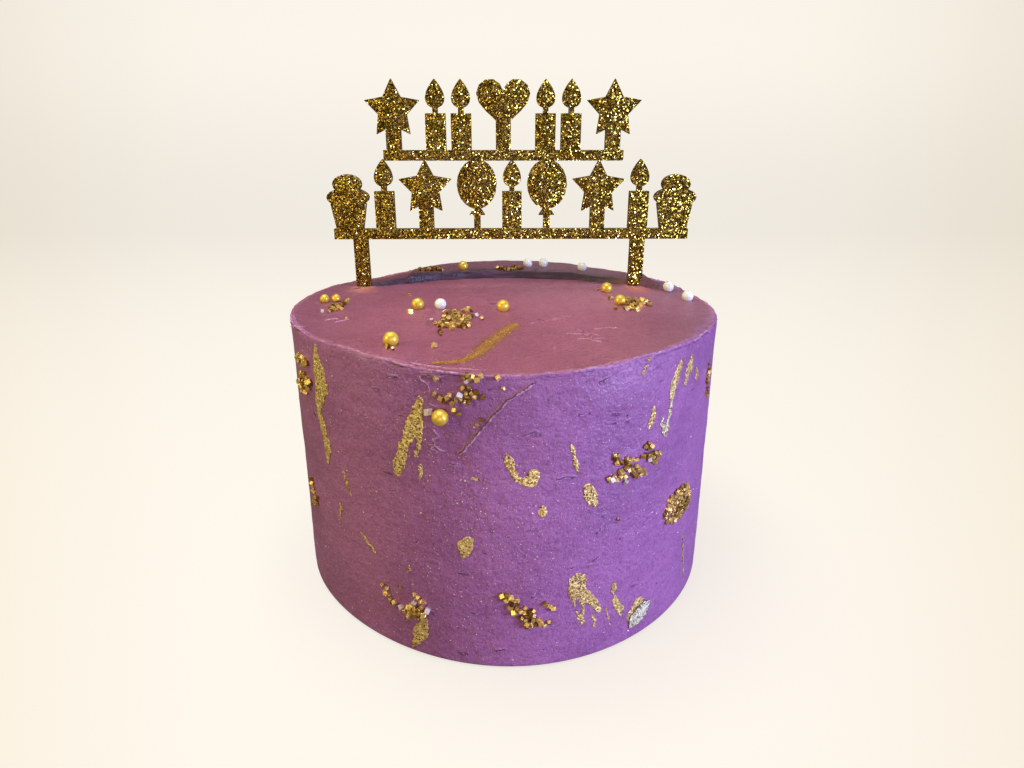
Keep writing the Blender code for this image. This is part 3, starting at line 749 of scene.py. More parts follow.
# Strips on the side: groove depth, lip height, and azimuths and heights
SIDE_STRIPS = (
    (0.00015, 0.00020, CREASE[::-1]),
    (0.00002, 0.00042, ((-18.5, 0.1085), (-18.0, 0.1065), (-16.5, 0.1055), (-16.0, 0.1000))),
    (0.00002, 0.00036, ((-18.0, 0.1075), (-14.5, 0.1085), (-12.0, 0.1095))),
    (0.00026, 0.00004, ((-18.8, 0.1084), (-15.8, 0.1091), (-12.6, 0.1094))),
    (0.00026, 0.00004, ((-18.2, 0.1078), (-15.8, 0.1084), (-13.4, 0.1088))),
    (0.00002, 0.00034, ((-17.0, 0.0995), (-15.0, 0.0985), (-14.5, 0.0990))),
    (0.00002, 0.00042, ((-16.0, 0.0910), (-14.5, 0.0885), (-16.0, 0.0870), (-15.0, 0.0860),
                        (-16.5, 0.0835), (-15.0, 0.0830), (-16.0, 0.0810))),
    (0.00002, 0.00030, ((-17.5, 0.0845), (-16.0, 0.0850), (-13.5, 0.0835), (-12.5, 0.0835))),
    (0.00004, 0.00012, ((61.8, 0.0866), (58.0, 0.0840), (52.5, 0.0802))),
    (0.00018, 0.00010, ((-12.6, 0.0796), (-11.2, 0.0792), (-10.4, 0.0796))),
    (0.00018, 0.00012, ((20.9, 0.0596), (22.0, 0.0602), (23.2, 0.0612))),
    (0.00018, 0.00012, ((21.8, 0.0576), (23.4, 0.0574))),
    (0.00020, 0.00012, ((20.4, 0.0510), (21.8, 0.0524), (22.4, 0.0536))),
    (0.00020, 0.00012, ((19.8, 0.0404), (21.2, 0.0412), (22.4, 0.0424))),
    (0.00018, 0.00010, ((18.8, 0.0388), (20.4, 0.0392))),
    (0.00016, 0.00010, ((10.6, 0.0740), (13.2, 0.0744), (16.0, 0.0738))),
    (0.00014, 0.00010, ((13.8, 0.0392), (16.2, 0.0398))),
    (0.00016, 0.00010, ((5.4, 0.0294), (7.4, 0.0298))),
    (0.00014, 0.00010, ((19.6, 0.1052), (21.6, 0.1064), (23.0, 0.1066))),
    (0.00014, 0.00010, ((14.8, 0.0962), (16.8, 0.0958))),
    (0.00014, 0.00010, ((27.0, 0.0898), (29.0, 0.0902))),
    (0.00016, 0.00010, ((-3.0, 0.0074), (0.5, 0.0080))),
    (0.00014, 0.00008, ((-31.0, 0.0992), (-29.0, 0.1000))),
    (0.00014, 0.00008, ((-34.6, 0.0884), (-33.0, 0.0890))),
    (0.00012, 0.00010, ((3.4, 0.0902), (6.0, 0.0914), (8.2, 0.0906))),
    (0.00014, 0.00010, ((-26.6, 0.1050), (-23.4, 0.1058))),
)

# Strips on top: groove depth, lip height, and x and y
TOP_STRIPS = (
    (0.00028, 0.00018, ((0.0254, -0.0388), (0.0276, -0.0420), (0.0268, -0.0448),
                        (0.0302, -0.0492), (0.0296, -0.0530), (0.0340, -0.0560))),
    (0.00018, 0.00018, ((0.0210, -0.0432), (0.0250, -0.0452), (0.0302, -0.0446),
                        (0.0340, -0.0474))),
    (0.00016, 0.00018, ((0.0236, -0.0500), (0.0286, -0.0510), (0.0356, -0.0500))),
    (0.00002, 0.00016, ((0.0080, -0.0330), (0.0120, -0.0290), (0.0190, -0.0260),
                        (0.0250, -0.0252))),
    (0.00012, 0.00016, ((0.0310, -0.0390), (0.0370, -0.0370), (0.0420, -0.0380))),
    (0.00030, 0.00010, ((0.0150, -0.0612), (0.0172, -0.0609))),
    (0.00024, 0.00034, ((-0.0780, -0.0330), (-0.0750, -0.0352), (-0.0724, -0.0348))),
    (0.00010, 0.00030, ((-0.0680, -0.0260), (-0.0650, -0.0240), (-0.0622, -0.0236))),
    (0.00010, 0.00030, ((-0.0640, -0.0290), (-0.0606, -0.0262), (-0.0590, -0.0236))),
    (0.00012, 0.00018, ((-0.0300, -0.0756), (-0.0180, -0.0790), (-0.0060, -0.0800))),
)

# Torn stretches of the edge: azimuth, half width in degrees and strength
RIM_TEARS = ((-66, 12, 1.3), (-21, 6, 1.1), (-9, 7, 0.9), (12, 8, 0.5), (34, 8, 0.6), (50, 8, 0.8),
             (64, 12, 1.3), (120, 20, 0.9), (-140, 22, 1.0), (176, 15, 0.7))
RIM_STATIONS = 1500

# Crumbs of icing beside the lines, for each metre, and along the torn edge, for each degree
CRUMBS_ON_LINE = 900
CRUMBS_ON_RIM = 1.5
CRUMB_SIZE = (0.00022, 0.00060)
CRUMB_SPREAD = 0.0009
RIM_HALF = 0.0016


def side_places(azimuth, height, proud):
    """Points at a distance out of the side, its relief included."""
    azimuth = np.asarray(azimuth, float)
    height = np.asarray(height, float)
    angle = np.radians(azimuth - 90.0)
    radius = side_radius(angle, height) + side_relief(angle, height) + proud
    lift = rim_lift(angle) * smooth(height, 0.5 * CAKE_HEIGHT, CAKE_HEIGHT)
    return np.stack([radius * np.cos(angle), radius * np.sin(angle), height + lift], axis=1)


def top_places(x, y, proud):
    """Points at a height over the top, its relief and the bank included."""
    x = np.asarray(x, float)
    y = np.asarray(y, float)
    return np.stack([x, y, icing_height(x, y) + top_relief(x, y) + proud], axis=1)


def rim_places(angle, across, proud):
    """Points over the rounded edge; across runs from the top (negative) to the side."""
    turn = across / RIM_ROUND + 0.25 * math.pi
    bend = np.clip(turn, 0.0, 0.5 * math.pi)
    inward = np.minimum(turn, 0.0) * RIM_ROUND
    down = np.maximum(turn - 0.5 * math.pi, 0.0) * RIM_ROUND
    radius = side_radius(angle, CAKE_HEIGHT) - RIM_ROUND + inward
    radius = radius + (RIM_ROUND + proud) * np.sin(bend) + RIM_PUSH * rim_lump(angle, 53) * (turn > 0)
    height = CAKE_HEIGHT - RIM_ROUND - down + (RIM_ROUND + proud) * np.cos(bend)
    height = height + rim_lift(angle) + RIM_LUMP * rim_lump(angle, 51)
    return np.stack([radius * np.cos(angle), radius * np.sin(angle), height], axis=1)


def blank_strip(stations, courses):
    """A grid of strips, and how far along and across it each vertex lies, from 0 to 1."""
    bpy.ops.object.select_all(action="DESELECT")
    bpy.ops.mesh.primitive_grid_add(x_subdivisions=stations, y_subdivisions=courses, size=1.0)
    strip = bpy.context.object
    spots = read_places(strip)
    return strip, spots[:, 0] + 0.5, spots[:, 1] + 0.5


def flat_line(line, share, aside):
    """Points beside a line drawn on a plane, at a share of its length."""
    line = np.asarray(line, float)
    runs = np.hypot(*(line[1:] - line[:-1]).T)
    ends = np.concatenate([[0.0], np.cumsum(runs)])
    travel = share * ends[-1]
    point = np.stack([np.interp(travel, ends, line[:, axis]) for axis in (0, 1)], axis=1)
    ahead = np.clip(travel + 0.0004, 0.0, ends[-1])
    behind = np.clip(travel - 0.0004, 0.0, ends[-1])
    heading = np.stack(
        [np.interp(ahead, ends, line[:, a]) - np.interp(behind, ends, line[:, a]) for a in (0, 1)],
        axis=1,
    )
    heading = heading / np.maximum(np.hypot(*heading.T), 1e-9)[:, None]
    return point[:, 0] + aside * heading[:, 1], point[:, 1] - aside * heading[:, 0]


def mark_strip(line, groove, lip, number, places_at):
    """One strip along a line, with its groove and lip tapering out at both ends."""
    length = float(np.hypot(*(np.diff(np.asarray(line, float), axis=0)).T).sum())
    strip, share, course = blank_strip(max(6, int(length / STRIP_STEP)), STRIP_COURSES)
    aside = (2.0 * course - 1.0) * STRIP_HALF
    taper = smooth(share, 0.0, min(0.4, 0.0014 / length))
    taper = taper * (1.0 - smooth(share, 1.0 - min(0.4, 0.0022 / length), 1.0))
    track = np.stack([share * length, np.full(len(share), float(number)), 0 * share], axis=1)
    wander = STRIP_WANDER * (soft_noise(track, 0.0017, 41) + 0.6 * soft_noise(track, 0.0007, 42))
    uneven = np.clip(0.75 + 0.45 * soft_noise(track, 0.0014, 43), 0.15, 1.2)
    across, up = flat_line(line, share, aside + wander)
    lip_place = LIP_PLACE if groove > 0.00005 else 0.0
    ridge = bell(aside - lip_place, LIP_SPREAD) * uneven * taper
    hollow = bell(aside - GROOVE_PLACE, GROOVE_WIDTH) * taper
    shoulder = (groove + STRIP_PROUD) * (1.0 - smooth(np.abs(aside), 0.00035, 0.9 * STRIP_HALF))
    edge = smooth(np.abs(aside), 0.8 * STRIP_HALF, STRIP_HALF)
    proud = taper * (shoulder + lip * ridge - groove * hollow) - STRIP_SUNK * edge
    proud = proud - STRIP_SUNK * (1.0 - smooth(taper, 0.0, 0.12))
    write_places(strip, places_at(across, up, proud))
    # In the material, line_offset and line_strength set painted shade along the groove, and lip sets a
    # painted highlight along the ridge.
    write_attribute(strip, "line_offset", aside - GROOVE_PLACE)
    write_attribute(strip, "line_strength", taper * min(1.0, groove / 0.00014))
    write_attribute(strip, "lip", ridge * min(1.6, lip / 0.00020))
    return strip


def join_pieces(name, pieces):
    """Join finished pieces into one object."""
    bpy.ops.object.select_all(action="DESELECT")
    for piece in pieces:
        piece.select_set(True)
    bpy.context.view_layer.objects.active = pieces[0]
    bpy.ops.object.join()
    joined = bpy.context.object
    joined.name = name
    return joined


def unrolled_places(across, up, proud):
    """Points out of the side, from places on the unrolled side."""
    return side_places(np.degrees(across / CAKE_RADIUS), up, proud)


strips = []
for number, (groove, lip_height, line) in enumerate(SIDE_STRIPS):
    strip = mark_strip(unrolled(line), groove, lip_height, number, unrolled_places)
    write_attribute(strip, "roof", np.zeros(len(strip.data.vertices)))
    strips.append(strip)
for number, (groove, lip_height, line) in enumerate(TOP_STRIPS):
    strip = mark_strip(line, groove, lip_height, 50 + number, top_places)
    write_attribute(strip, "roof", np.ones(len(strip.data.vertices)))
    strips.append(strip)

strip, share, course = blank_strip(RIM_STATIONS, 14)
rim_angle = share * math.tau - math.pi
aside = (2.0 * course - 1.0) * RIM_HALF
ring_spot = ring_points(rim_angle)
torn = np.full(len(share), 0.12)
for azimuth, width, tear in RIM_TEARS:
    torn = torn + tear * bell(degrees_from(rim_angle, azimuth), width)
jag = 0.6 * soft_noise(ring_spot, 0.0042, 44) + 0.5 * soft_noise(ring_spot, 0.0013, 45)
place = -0.00012 + 0.0005 * soft_noise(ring_spot, 0.008, 46) * np.minimum(torn, 1.0)
burr = np.clip(0.35 + jag, 0.0, 1.4) * bell(aside - place, 0.00034)
second = np.clip(jag - 0.1, 0.0, 1.0) * bell(aside - place - 0.0009, 0.00022) * (torn > 0.4)
edge = smooth(np.abs(aside), 0.75 * RIM_HALF, RIM_HALF)
proud = 0.00004 - 0.0003 * edge + 0.0006 * torn * (burr + 0.7 * second)
write_places(strip, rim_places(rim_angle, aside, proud))
# In the material these set painted shade along the torn edge's groove and a painted highlight on its burrs.
write_attribute(strip, "line_offset", aside - place - 0.00055)
write_attribute(strip, "line_strength", np.clip(torn - 0.3, 0.0, 0.8) * (jag > -0.1))
write_attribute(strip, "lip", np.clip(burr * (0.35 + 0.6 * torn), 0.0, 1.0))
fold = folded_over(rim_angle)
write_attribute(strip, "roof", 1.0 - smooth(aside + 0.6 * fold, -0.0004 - 0.4 * fold, 0.0004))
strips.append(strip)


def read_shape(piece):
    """Vertex places and faces of a small shape, which is then removed."""
    shape = (read_places(piece), [tuple(face.vertices) for face in piece.data.polygons])
    bpy.data.objects.remove(piece)
    return shape


def stamp(name, shape, turns, centres, tones):
    """One joined mesh with a copy of a shape at each centre, turned and sized by a matrix."""
    points, faces = shape
    turns = np.asarray(turns, float)
    centres = np.asarray(centres, float)
    copies = np.einsum("nij,pj->npi", turns, points) + centres[:, None, :]
    count = len(points)
    joined_faces = []
    for index in range(len(centres)):
        joined_faces.extend(tuple(corner + index * count for corner in face) for face in faces)
    mesh = bpy.data.meshes.new(name)
    mesh.from_pydata(copies.reshape(-1, 3).tolist(), [], joined_faces)
    piece = bpy.data.objects.new(name, mesh)
    bpy.context.scene.collection.objects.link(piece)
    write_attribute(piece, "tone", np.broadcast_to(tones, (count, len(centres))).T.ravel())
    return piece


bpy.ops.object.select_all(action="DESELECT")
bpy.ops.mesh.primitive_ico_sphere_add(subdivisions=2, radius=0.5)
lump = bpy.context.object
lump_places = read_places(lump)
write_places(lump, lump_places * (1.0 + 0.3 * soft_noise(lump_places, 0.4, 61))[:, None])
crumb_shape = read_shape(lump)

draw = random.Random(7)
crumb_places = []
crumb_roofs = []
for number, (_, _, line) in enumerate(TOP_STRIPS + SIDE_STRIPS):
    on_roof_line = number < len(TOP_STRIPS)
    line = np.array(line if on_roof_line else unrolled(line))
    length = float(np.hypot(*(np.diff(line, axis=0)).T).sum())
    for _ in range(int(length * CRUMBS_ON_LINE)):
        share = np.array([draw.random()])
        across, up = flat_line(line, share, draw.gauss(0.0, CRUMB_SPREAD))
        if on_roof_line or draw.random() < 0.25:
            place_at = top_places if on_roof_line else unrolled_places
            crumb_places.append(place_at(across, up, 0.0001)[0])
            crumb_roofs.append(float(on_roof_line))
for azimuth, width, tear in RIM_TEARS:
    for _ in range(int(tear * width * CRUMBS_ON_RIM)):
        angle = np.array([math.radians(draw.gauss(azimuth, 0.7 * width) - 90.0)])
        aside = draw.gauss(-0.0004, 0.0007)
        crumb_places.append(rim_places(angle, np.array([aside]), 0.0001)[0])
        crumb_roofs.append(float(aside < 0.0))
crumb_turns = [
    np.array(Euler([draw.uniform(0.0, math.tau) for _ in range(3)]).to_matrix())
    @ np.diag([draw.uniform(*CRUMB_SIZE) for _ in range(3)])
    for _ in crumb_places
]
crumbs = stamp("icing_crumbs", crumb_shape, crumb_turns, crumb_places, np.zeros(len(crumb_places)))
write_attribute(crumbs, "roof", np.repeat(crumb_roofs, len(crumb_shape[0])))
# Painted highlight on the crumbs, of random strength.
write_attribute(
    crumbs, "lip", np.repeat([draw.uniform(0.1, 0.8) for _ in crumb_places], len(crumb_shape[0]))
)
write_attribute(crumbs, "line_offset", np.full(len(crumbs.data.vertices), 1.0))
strips.append(crumbs)

marks = join_pieces("icing_marks", strips)
marks.data.shade_smooth()
give_material(marks, icing_and_painted_light)
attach(marks, "root")

# Gold leaf
# Flakes of edible leaf pressed on the icing, crinkled and full of tiny holes. Each flake is a
# fine grid laid on the side and torn away outside the brush strokes that it follows.
LEAF_STROKES = (
    ((-18.5, 0.1000, 0.0020), (-20.0, 0.0920, 0.0052), (-23.0, 0.0830, 0.0038),
     (-25.0, 0.0750, 0.0042), (-25.5, 0.0720, 0.0024)),
    ((-19.0, 0.0930, 0.0034), (-19.0, 0.0860, 0.0024), (-20.0, 0.0800, 0.0010)),
    ((-19.0, 0.0770, 0.0008), (-19.0, 0.0745, 0.0017), (-19.5, 0.0720, 0.0006)),
    ((0.0, 0.0840, 0.0010), (0.5, 0.0820, 0.0028), (2.5, 0.0745, 0.0018), (4.0, 0.0735, 0.0022),
     (5.5, 0.0745, 0.0050), (6.0, 0.0770, 0.0034)),
    ((14.0, 0.0860, 0.0006), (14.5, 0.0835, 0.0022), (15.0, 0.0800, 0.0018), (16.0, 0.0745, 0.0007)),
    ((18.0, 0.0695, 0.0032), (19.0, 0.0660, 0.0048), (20.0, 0.0625, 0.0022)),
    ((8.0, 0.0645, 0.0018), (8.0, 0.0625, 0.0028)),
    ((45.5, 0.1050, 0.0008), (44.0, 0.1020, 0.0036), (42.5, 0.0970, 0.0048), (42.0, 0.0920, 0.0020)),
    ((50.0, 0.1035, 0.0030), (49.5, 0.1010, 0.0048), (48.0, 0.0985, 0.0022), (48.0, 0.0955, 0.0015)),
    ((53.5, 0.0990, 0.0013), (54.0, 0.0960, 0.0033), (54.0, 0.0945, 0.0012)),
    ((35.5, 0.0920, 0.0008), (35.5, 0.0890, 0.0024), (35.0, 0.0865, 0.0028), (34.5, 0.0845, 0.0010)),
    ((32.0, 0.1070, 0.0006), (31.5, 0.1055, 0.0012)),
    ((33.0, 0.1100, 0.0007), (33.0, 0.1090, 0.0012)),
    ((54.0, 0.0300, 0.0009), (55.5, 0.0200, 0.0008), (57.5, 0.0080, 0.0005)),
    ((-44.0, 0.0640, 0.0008), (-43.0, 0.0600, 0.0017), (-41.5, 0.0560, 0.0006)),
    ((-47.0, 0.0500, 0.0008), (-47.0, 0.0470, 0.0019), (-48.0, 0.0410, 0.0005)),
    ((-39.0, 0.0430, 0.0008), (-37.0, 0.0405, 0.0017), (-34.0, 0.0370, 0.0012)),
    ((-23.5, 0.0370, 0.0008), (-23.5, 0.0355, 0.0017), (-24.0, 0.0340, 0.0006)),
    ((-8.5, 0.0515, 0.0036), (-9.0, 0.0490, 0.0052), (-9.5, 0.0460, 0.0026)),
    ((-7.5, 0.0745, 0.0008), (-5.5, 0.0745, 0.0012)),
    ((-20.0, 0.0150, 0.0028), (-21.5, 0.0090, 0.0062), (-23.5, 0.0025, 0.0012)),
    ((17.0, 0.0350, 0.0040), (16.5, 0.0335, 0.0066), (16.5, 0.0295, 0.0070)),
    ((17.5, 0.0295, 0.0040), (19.0, 0.0265, 0.0050), (21.0, 0.0230, 0.0036), (22.5, 0.0185, 0.0016)),
    ((15.5, 0.0290, 0.0012), (16.0, 0.0235, 0.0006)),
    ((17.5, 0.0260, 0.0014), (18.5, 0.0215, 0.0010), (18.0, 0.0155, 0.0014)),
    ((16.5, 0.0215, 0.0006), (18.0, 0.0160, 0.0014)),
    ((21.0, 0.0175, 0.0006), (21.5, 0.0140, 0.0008), (22.0, 0.0100, 0.0005)),
    ((24.5, 0.0190, 0.0003), (26.0, 0.0105, 0.0003)),
    ((26.5, 0.0285, 0.0012), (26.5, 0.0275, 0.0022), (27.0, 0.0255, 0.0012)),
    ((26.0, 0.0250, 0.0009), (26.5, 0.0235, 0.0008)),
    ((27.0, 0.0225, 0.0008), (27.5, 0.0200, 0.0030), (29.0, 0.0155, 0.0034), (29.0, 0.0130, 0.0010)),
    ((35.5, 0.0165, 0.0018), (35.0, 0.0150, 0.0050), (33.0, 0.0115, 0.0044), (32.0, 0.0100, 0.0026)),
    ((-51.5, 0.1080, 0.0014), (-52.0, 0.1020, 0.0064), (-51.0, 0.0945, 0.0100),
     (-52.0, 0.0895, 0.0064)),
    ((-53.0, 0.0900, 0.0050), (-53.5, 0.0825, 0.0040), (-51.0, 0.0740, 0.0042),
     (-50.5, 0.0700, 0.0046), (-51.0, 0.0645, 0.0018)),
    ((96.0, 0.0866, 0.0010), (97.0, 0.0820, 0.0040), (98.4, 0.0780, 0.0050), (97.0, 0.0700, 0.0012)),
    ((127.4, 0.0330, 0.0014), (129.0, 0.0300, 0.0050), (131.6, 0.0258, 0.0062), (135.4, 0.0196, 0.0016)),
    ((172.4, 0.0930, 0.0008), (171.0, 0.0880, 0.0036), (169.6, 0.0832, 0.0048), (173.2, 0.0736, 0.0010)),
    ((-150.4, 0.0570, 0.0012), (-148.6, 0.0530, 0.0050), (-147.6, 0.0490, 0.0056), (-149.2, 0.0426, 0.0012)),
    ((-98.4, 0.0330, 0.0012), (-96.4, 0.0280, 0.0046), (-95.6, 0.0240, 0.0054), (-97.2, 0.0166, 0.0012)),
)
LEAF_CELL = 0.00028
LEAF_PROUD = 0.00016
LEAF_CRINKLE = 0.00013
LEAF_THICKNESS = 0.00012
LEAF_RAGGED = 0.00050
LEAF_MARGIN = 0.0012

# Flakes that show their silver side: its share, how far they stand proud, and their strokes
SILVER_FLAKES = (
    (1.0, 0.00060, ((38.0, 0.0120, 0.0030), (36.5, 0.0110, 0.0066), (34.5, 0.0090, 0.0070),
                    (32.5, 0.0065, 0.0022))),
    (0.55, 0.00020, ((42.0, 0.0915, 0.0012), (42.0, 0.0880, 0.0020), (41.0, 0.0835, 0.0018))),
    (0.55, 0.00020, ((39.0, 0.0860, 0.0013), (39.0, 0.0840, 0.0013), (40.5, 0.0820, 0.0042),
                     (40.5, 0.0805, 0.0026))),
)


def inside_stroke(stroke, across, up):
    """How deep points lie inside a stroke of changing width, negative outside."""
    deepest = np.full(len(across), -1.0)
    for (start_a, start_h, start_w), (end_a, end_h, end_w) in zip(stroke, stroke[1:]):
        start = np.array([math.radians(start_a) * CAKE_RADIUS, start_h])
        step = np.array([math.radians(end_a) * CAKE_RADIUS, end_h]) - start
        run = np.hypot(*step)
        share = ((across - start[0]) * step[0] + (up - start[1]) * step[1]) / run**2
        share = np.clip(share, 0.0, 1.0)
        distance = np.hypot(across - start[0] - share * step[0], up - start[1] - share * step[1])
        deepest = np.maximum(deepest, 0.5 * (start_w + (end_w - start_w) * share) - distance)
    return deepest


def select_vertices(piece, wanted):
    """Go to edit mode with only some of the vertices selected."""
    bpy.ops.object.mode_set(mode="EDIT")
    bpy.ops.mesh.select_mode(type="VERT")
    bpy.ops.mesh.select_all(action="DESELECT")
    bpy.ops.object.mode_set(mode="OBJECT")
    piece.data.vertices.foreach_set("select", wanted)
    bpy.ops.object.mode_set(mode="EDIT")


def torn_flake(stroke, silver=0.0, stand=LEAF_PROUD):
    """One flake of leaf, torn to a ragged outline round its stroke."""
    azimuths = [point[0] for point in stroke]
    heights = [point[1] for point in stroke]
    margin = 0.5 * max(point[2] for point in stroke) + LEAF_MARGIN
    low = (math.radians(min(azimuths)) * CAKE_RADIUS - margin, min(heights) - margin)
    high = (math.radians(max(azimuths)) * CAKE_RADIUS + margin, max(heights) + margin)
    low = (low[0], max(low[1], 0.0006))
    high = (high[0], min(high[1], CAKE_HEIGHT - 0.0006))
    columns = int((high[0] - low[0]) / LEAF_CELL) + 1
    rows = int((high[1] - low[1]) / LEAF_CELL) + 1
    bpy.ops.object.select_all(action="DESELECT")
    bpy.ops.mesh.primitive_grid_add(x_subdivisions=columns, y_subdivisions=rows, size=1.0)
    flake = bpy.context.object
    grid = read_places(flake)
    across = low[0] + (high[0] - low[0]) * (grid[:, 0] + 0.5)
    up = low[1] + (high[1] - low[1]) * (grid[:, 1] + 0.5)

    def depth_at(across, up):
        flat = flat_points(across, up)
        ragged = soft_noise(flat, 0.0016, 21) + 0.7 * soft_noise(flat, 0.0007, 22)
        return inside_stroke(stroke, across, up) + LEAF_RAGGED * ragged

    depth = depth_at(across, up)
    step = 0.2 * LEAF_CELL
    slope_across = (depth_at(across + step, up) - depth_at(across - step, up)) / (2.0 * step)
    slope_up = (depth_at(across, up + step) - depth_at(across, up - step)) / (2.0 * step)
    steep = np.maximum(slope_across**2 + slope_up**2, 0.25)
    pull = np.clip(-depth, 0.0, 0.9 * LEAF_CELL) / steep
    across = across + pull * slope_across
    up = up + pull * slope_up
    flat = flat_points(across, up)
    crinkle = soft_noise(flat, 0.0011, 23) + 0.6 * soft_noise(flat, 0.0005, 24)
    proud = stand + LEAF_CRINKLE * crinkle * smooth(depth, 0.0, 0.0005)
    write_places(flake, side_places(np.degrees(across / CAKE_RADIUS), up, proud))
    select_vertices(flake, depth <= -0.6 * LEAF_CELL)
    bpy.ops.mesh.delete(type="VERT")
    bpy.ops.mesh.select_all(action="SELECT")
    bpy.ops.mesh.normals_make_consistent(inside=False)
    bpy.ops.object.mode_set(mode="OBJECT")
    write_attribute(flake, "silver", np.full(len(flake.data.vertices), silver))
    return flake


flakes = [torn_flake(stroke) for stroke in LEAF_STROKES]
flakes += [torn_flake(stroke, silver, stand) for silver, stand, stroke in SILVER_FLAKES]
leaf = join_pieces("gold_leaf", flakes)
thicken(leaf, LEAF_THICKNESS)
leaf.data.shade_smooth()

# Deep and bright gold and silver, painted as shade and highlight on the crinkles:
LEAF_BRIGHT = (1.0, 0.74, 0.34)
LEAF_DEEP = (0.50, 0.245, 0.055)
LEAF_SILVER = (1.0, 0.92, 0.74)
LEAF_SILVER_DEEP = (0.30, 0.22, 0.15)
LEAF_HOLE_SHADE = (0.07, 0.03, 0.02)


def leaf_foil(name):
    """Crinkled leaf: gold with painted highlights and shade on its crinkles, painted shade in the folds of
    its silver, and painted shade in its tiny holes.
    """
    material, tree, shader, place = new_material(name)
    crumple = noise_value(tree, place, 1250.0, 3.0, 0.65)
    patches = noise_value(tree, place, 260.0, 2.0)
    holes = noise_value(tree, place, 1500.0, 1.0)
    distance, _, few = cell_noise(tree, place, 930.0)
    pit = ramp(tree, distance, 0.22, 0.34, 1.0, 0.0)
    pit = maths(tree, "MULTIPLY", pit, ramp(tree, few, 0.30, 0.45))
    # Painted highlight on the rises of the crumple and painted shade in its dips.
    colour = blend_colours(tree, ramp(tree, crumple, 0.40, 0.56), LEAF_DEEP, LEAF_BRIGHT)
    silver = maths(tree, "MULTIPLY", read_attribute(tree, "silver"), ramp(tree, patches, 0.2, 0.45))
    # Painted shade in the folds of the silver.
    fold_light_and_shade = ramp(tree, crumple, 0.42, 0.50)
    silver_colour = blend_colours(tree, fold_light_and_shade, LEAF_SILVER_DEEP, LEAF_SILVER)
    colour = blend_colours(tree, silver, colour, silver_colour)
    # Painted shade, near black, in the tiny holes.
    hole = maths(tree, "MAXIMUM", ramp(tree, holes, 0.31, 0.35, 1.0, 0.0), pit)
    colour = blend_colours(tree, hole, colour, LEAF_HOLE_SHADE)
    normal = bump(tree, crumple, 0.0005)
    feed(tree, shader, {
        "Base Color": colour,
        "Metallic": ramp(tree, hole, 0.0, 1.0, 0.40, 0.0),
        "Roughness": ramp(tree, crumple, 0.3, 0.7, 0.42, 0.26),
        "Normal": bump(tree, maths(tree, "SUBTRACT", 1.0, hole), 0.0002, normal),
    })
    return material


give_material(leaf, leaf_foil("leaf_foil"))
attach(leaf, "root")

# Sugar crystals
# Coarse sugar coated in gold lustre, thrown on in small heaps, with a few white ones. Each is
# a block with worn edges, pulled a little out of square, that lies on one of its faces or leans.
CRYSTAL_SPREAD = (0.84, 1.12)
CRYSTAL_SKEW = 0.06
CRYSTAL_GAP = 0.98
CRYSTAL_SEAT = 0.38
CRYSTAL_CLOSE = 0.40
CRYSTAL_LIFT = 0.42
CRYSTAL_LEAN = 0.45
CRYSTAL_WORN = 0.07
CRYSTAL_TONES = (0.15, 1.0)
FACET_TONE = 0.42
BANK_SHADE_Y = 0.045
BANK_SHADE = 0.4
TRIES = 60

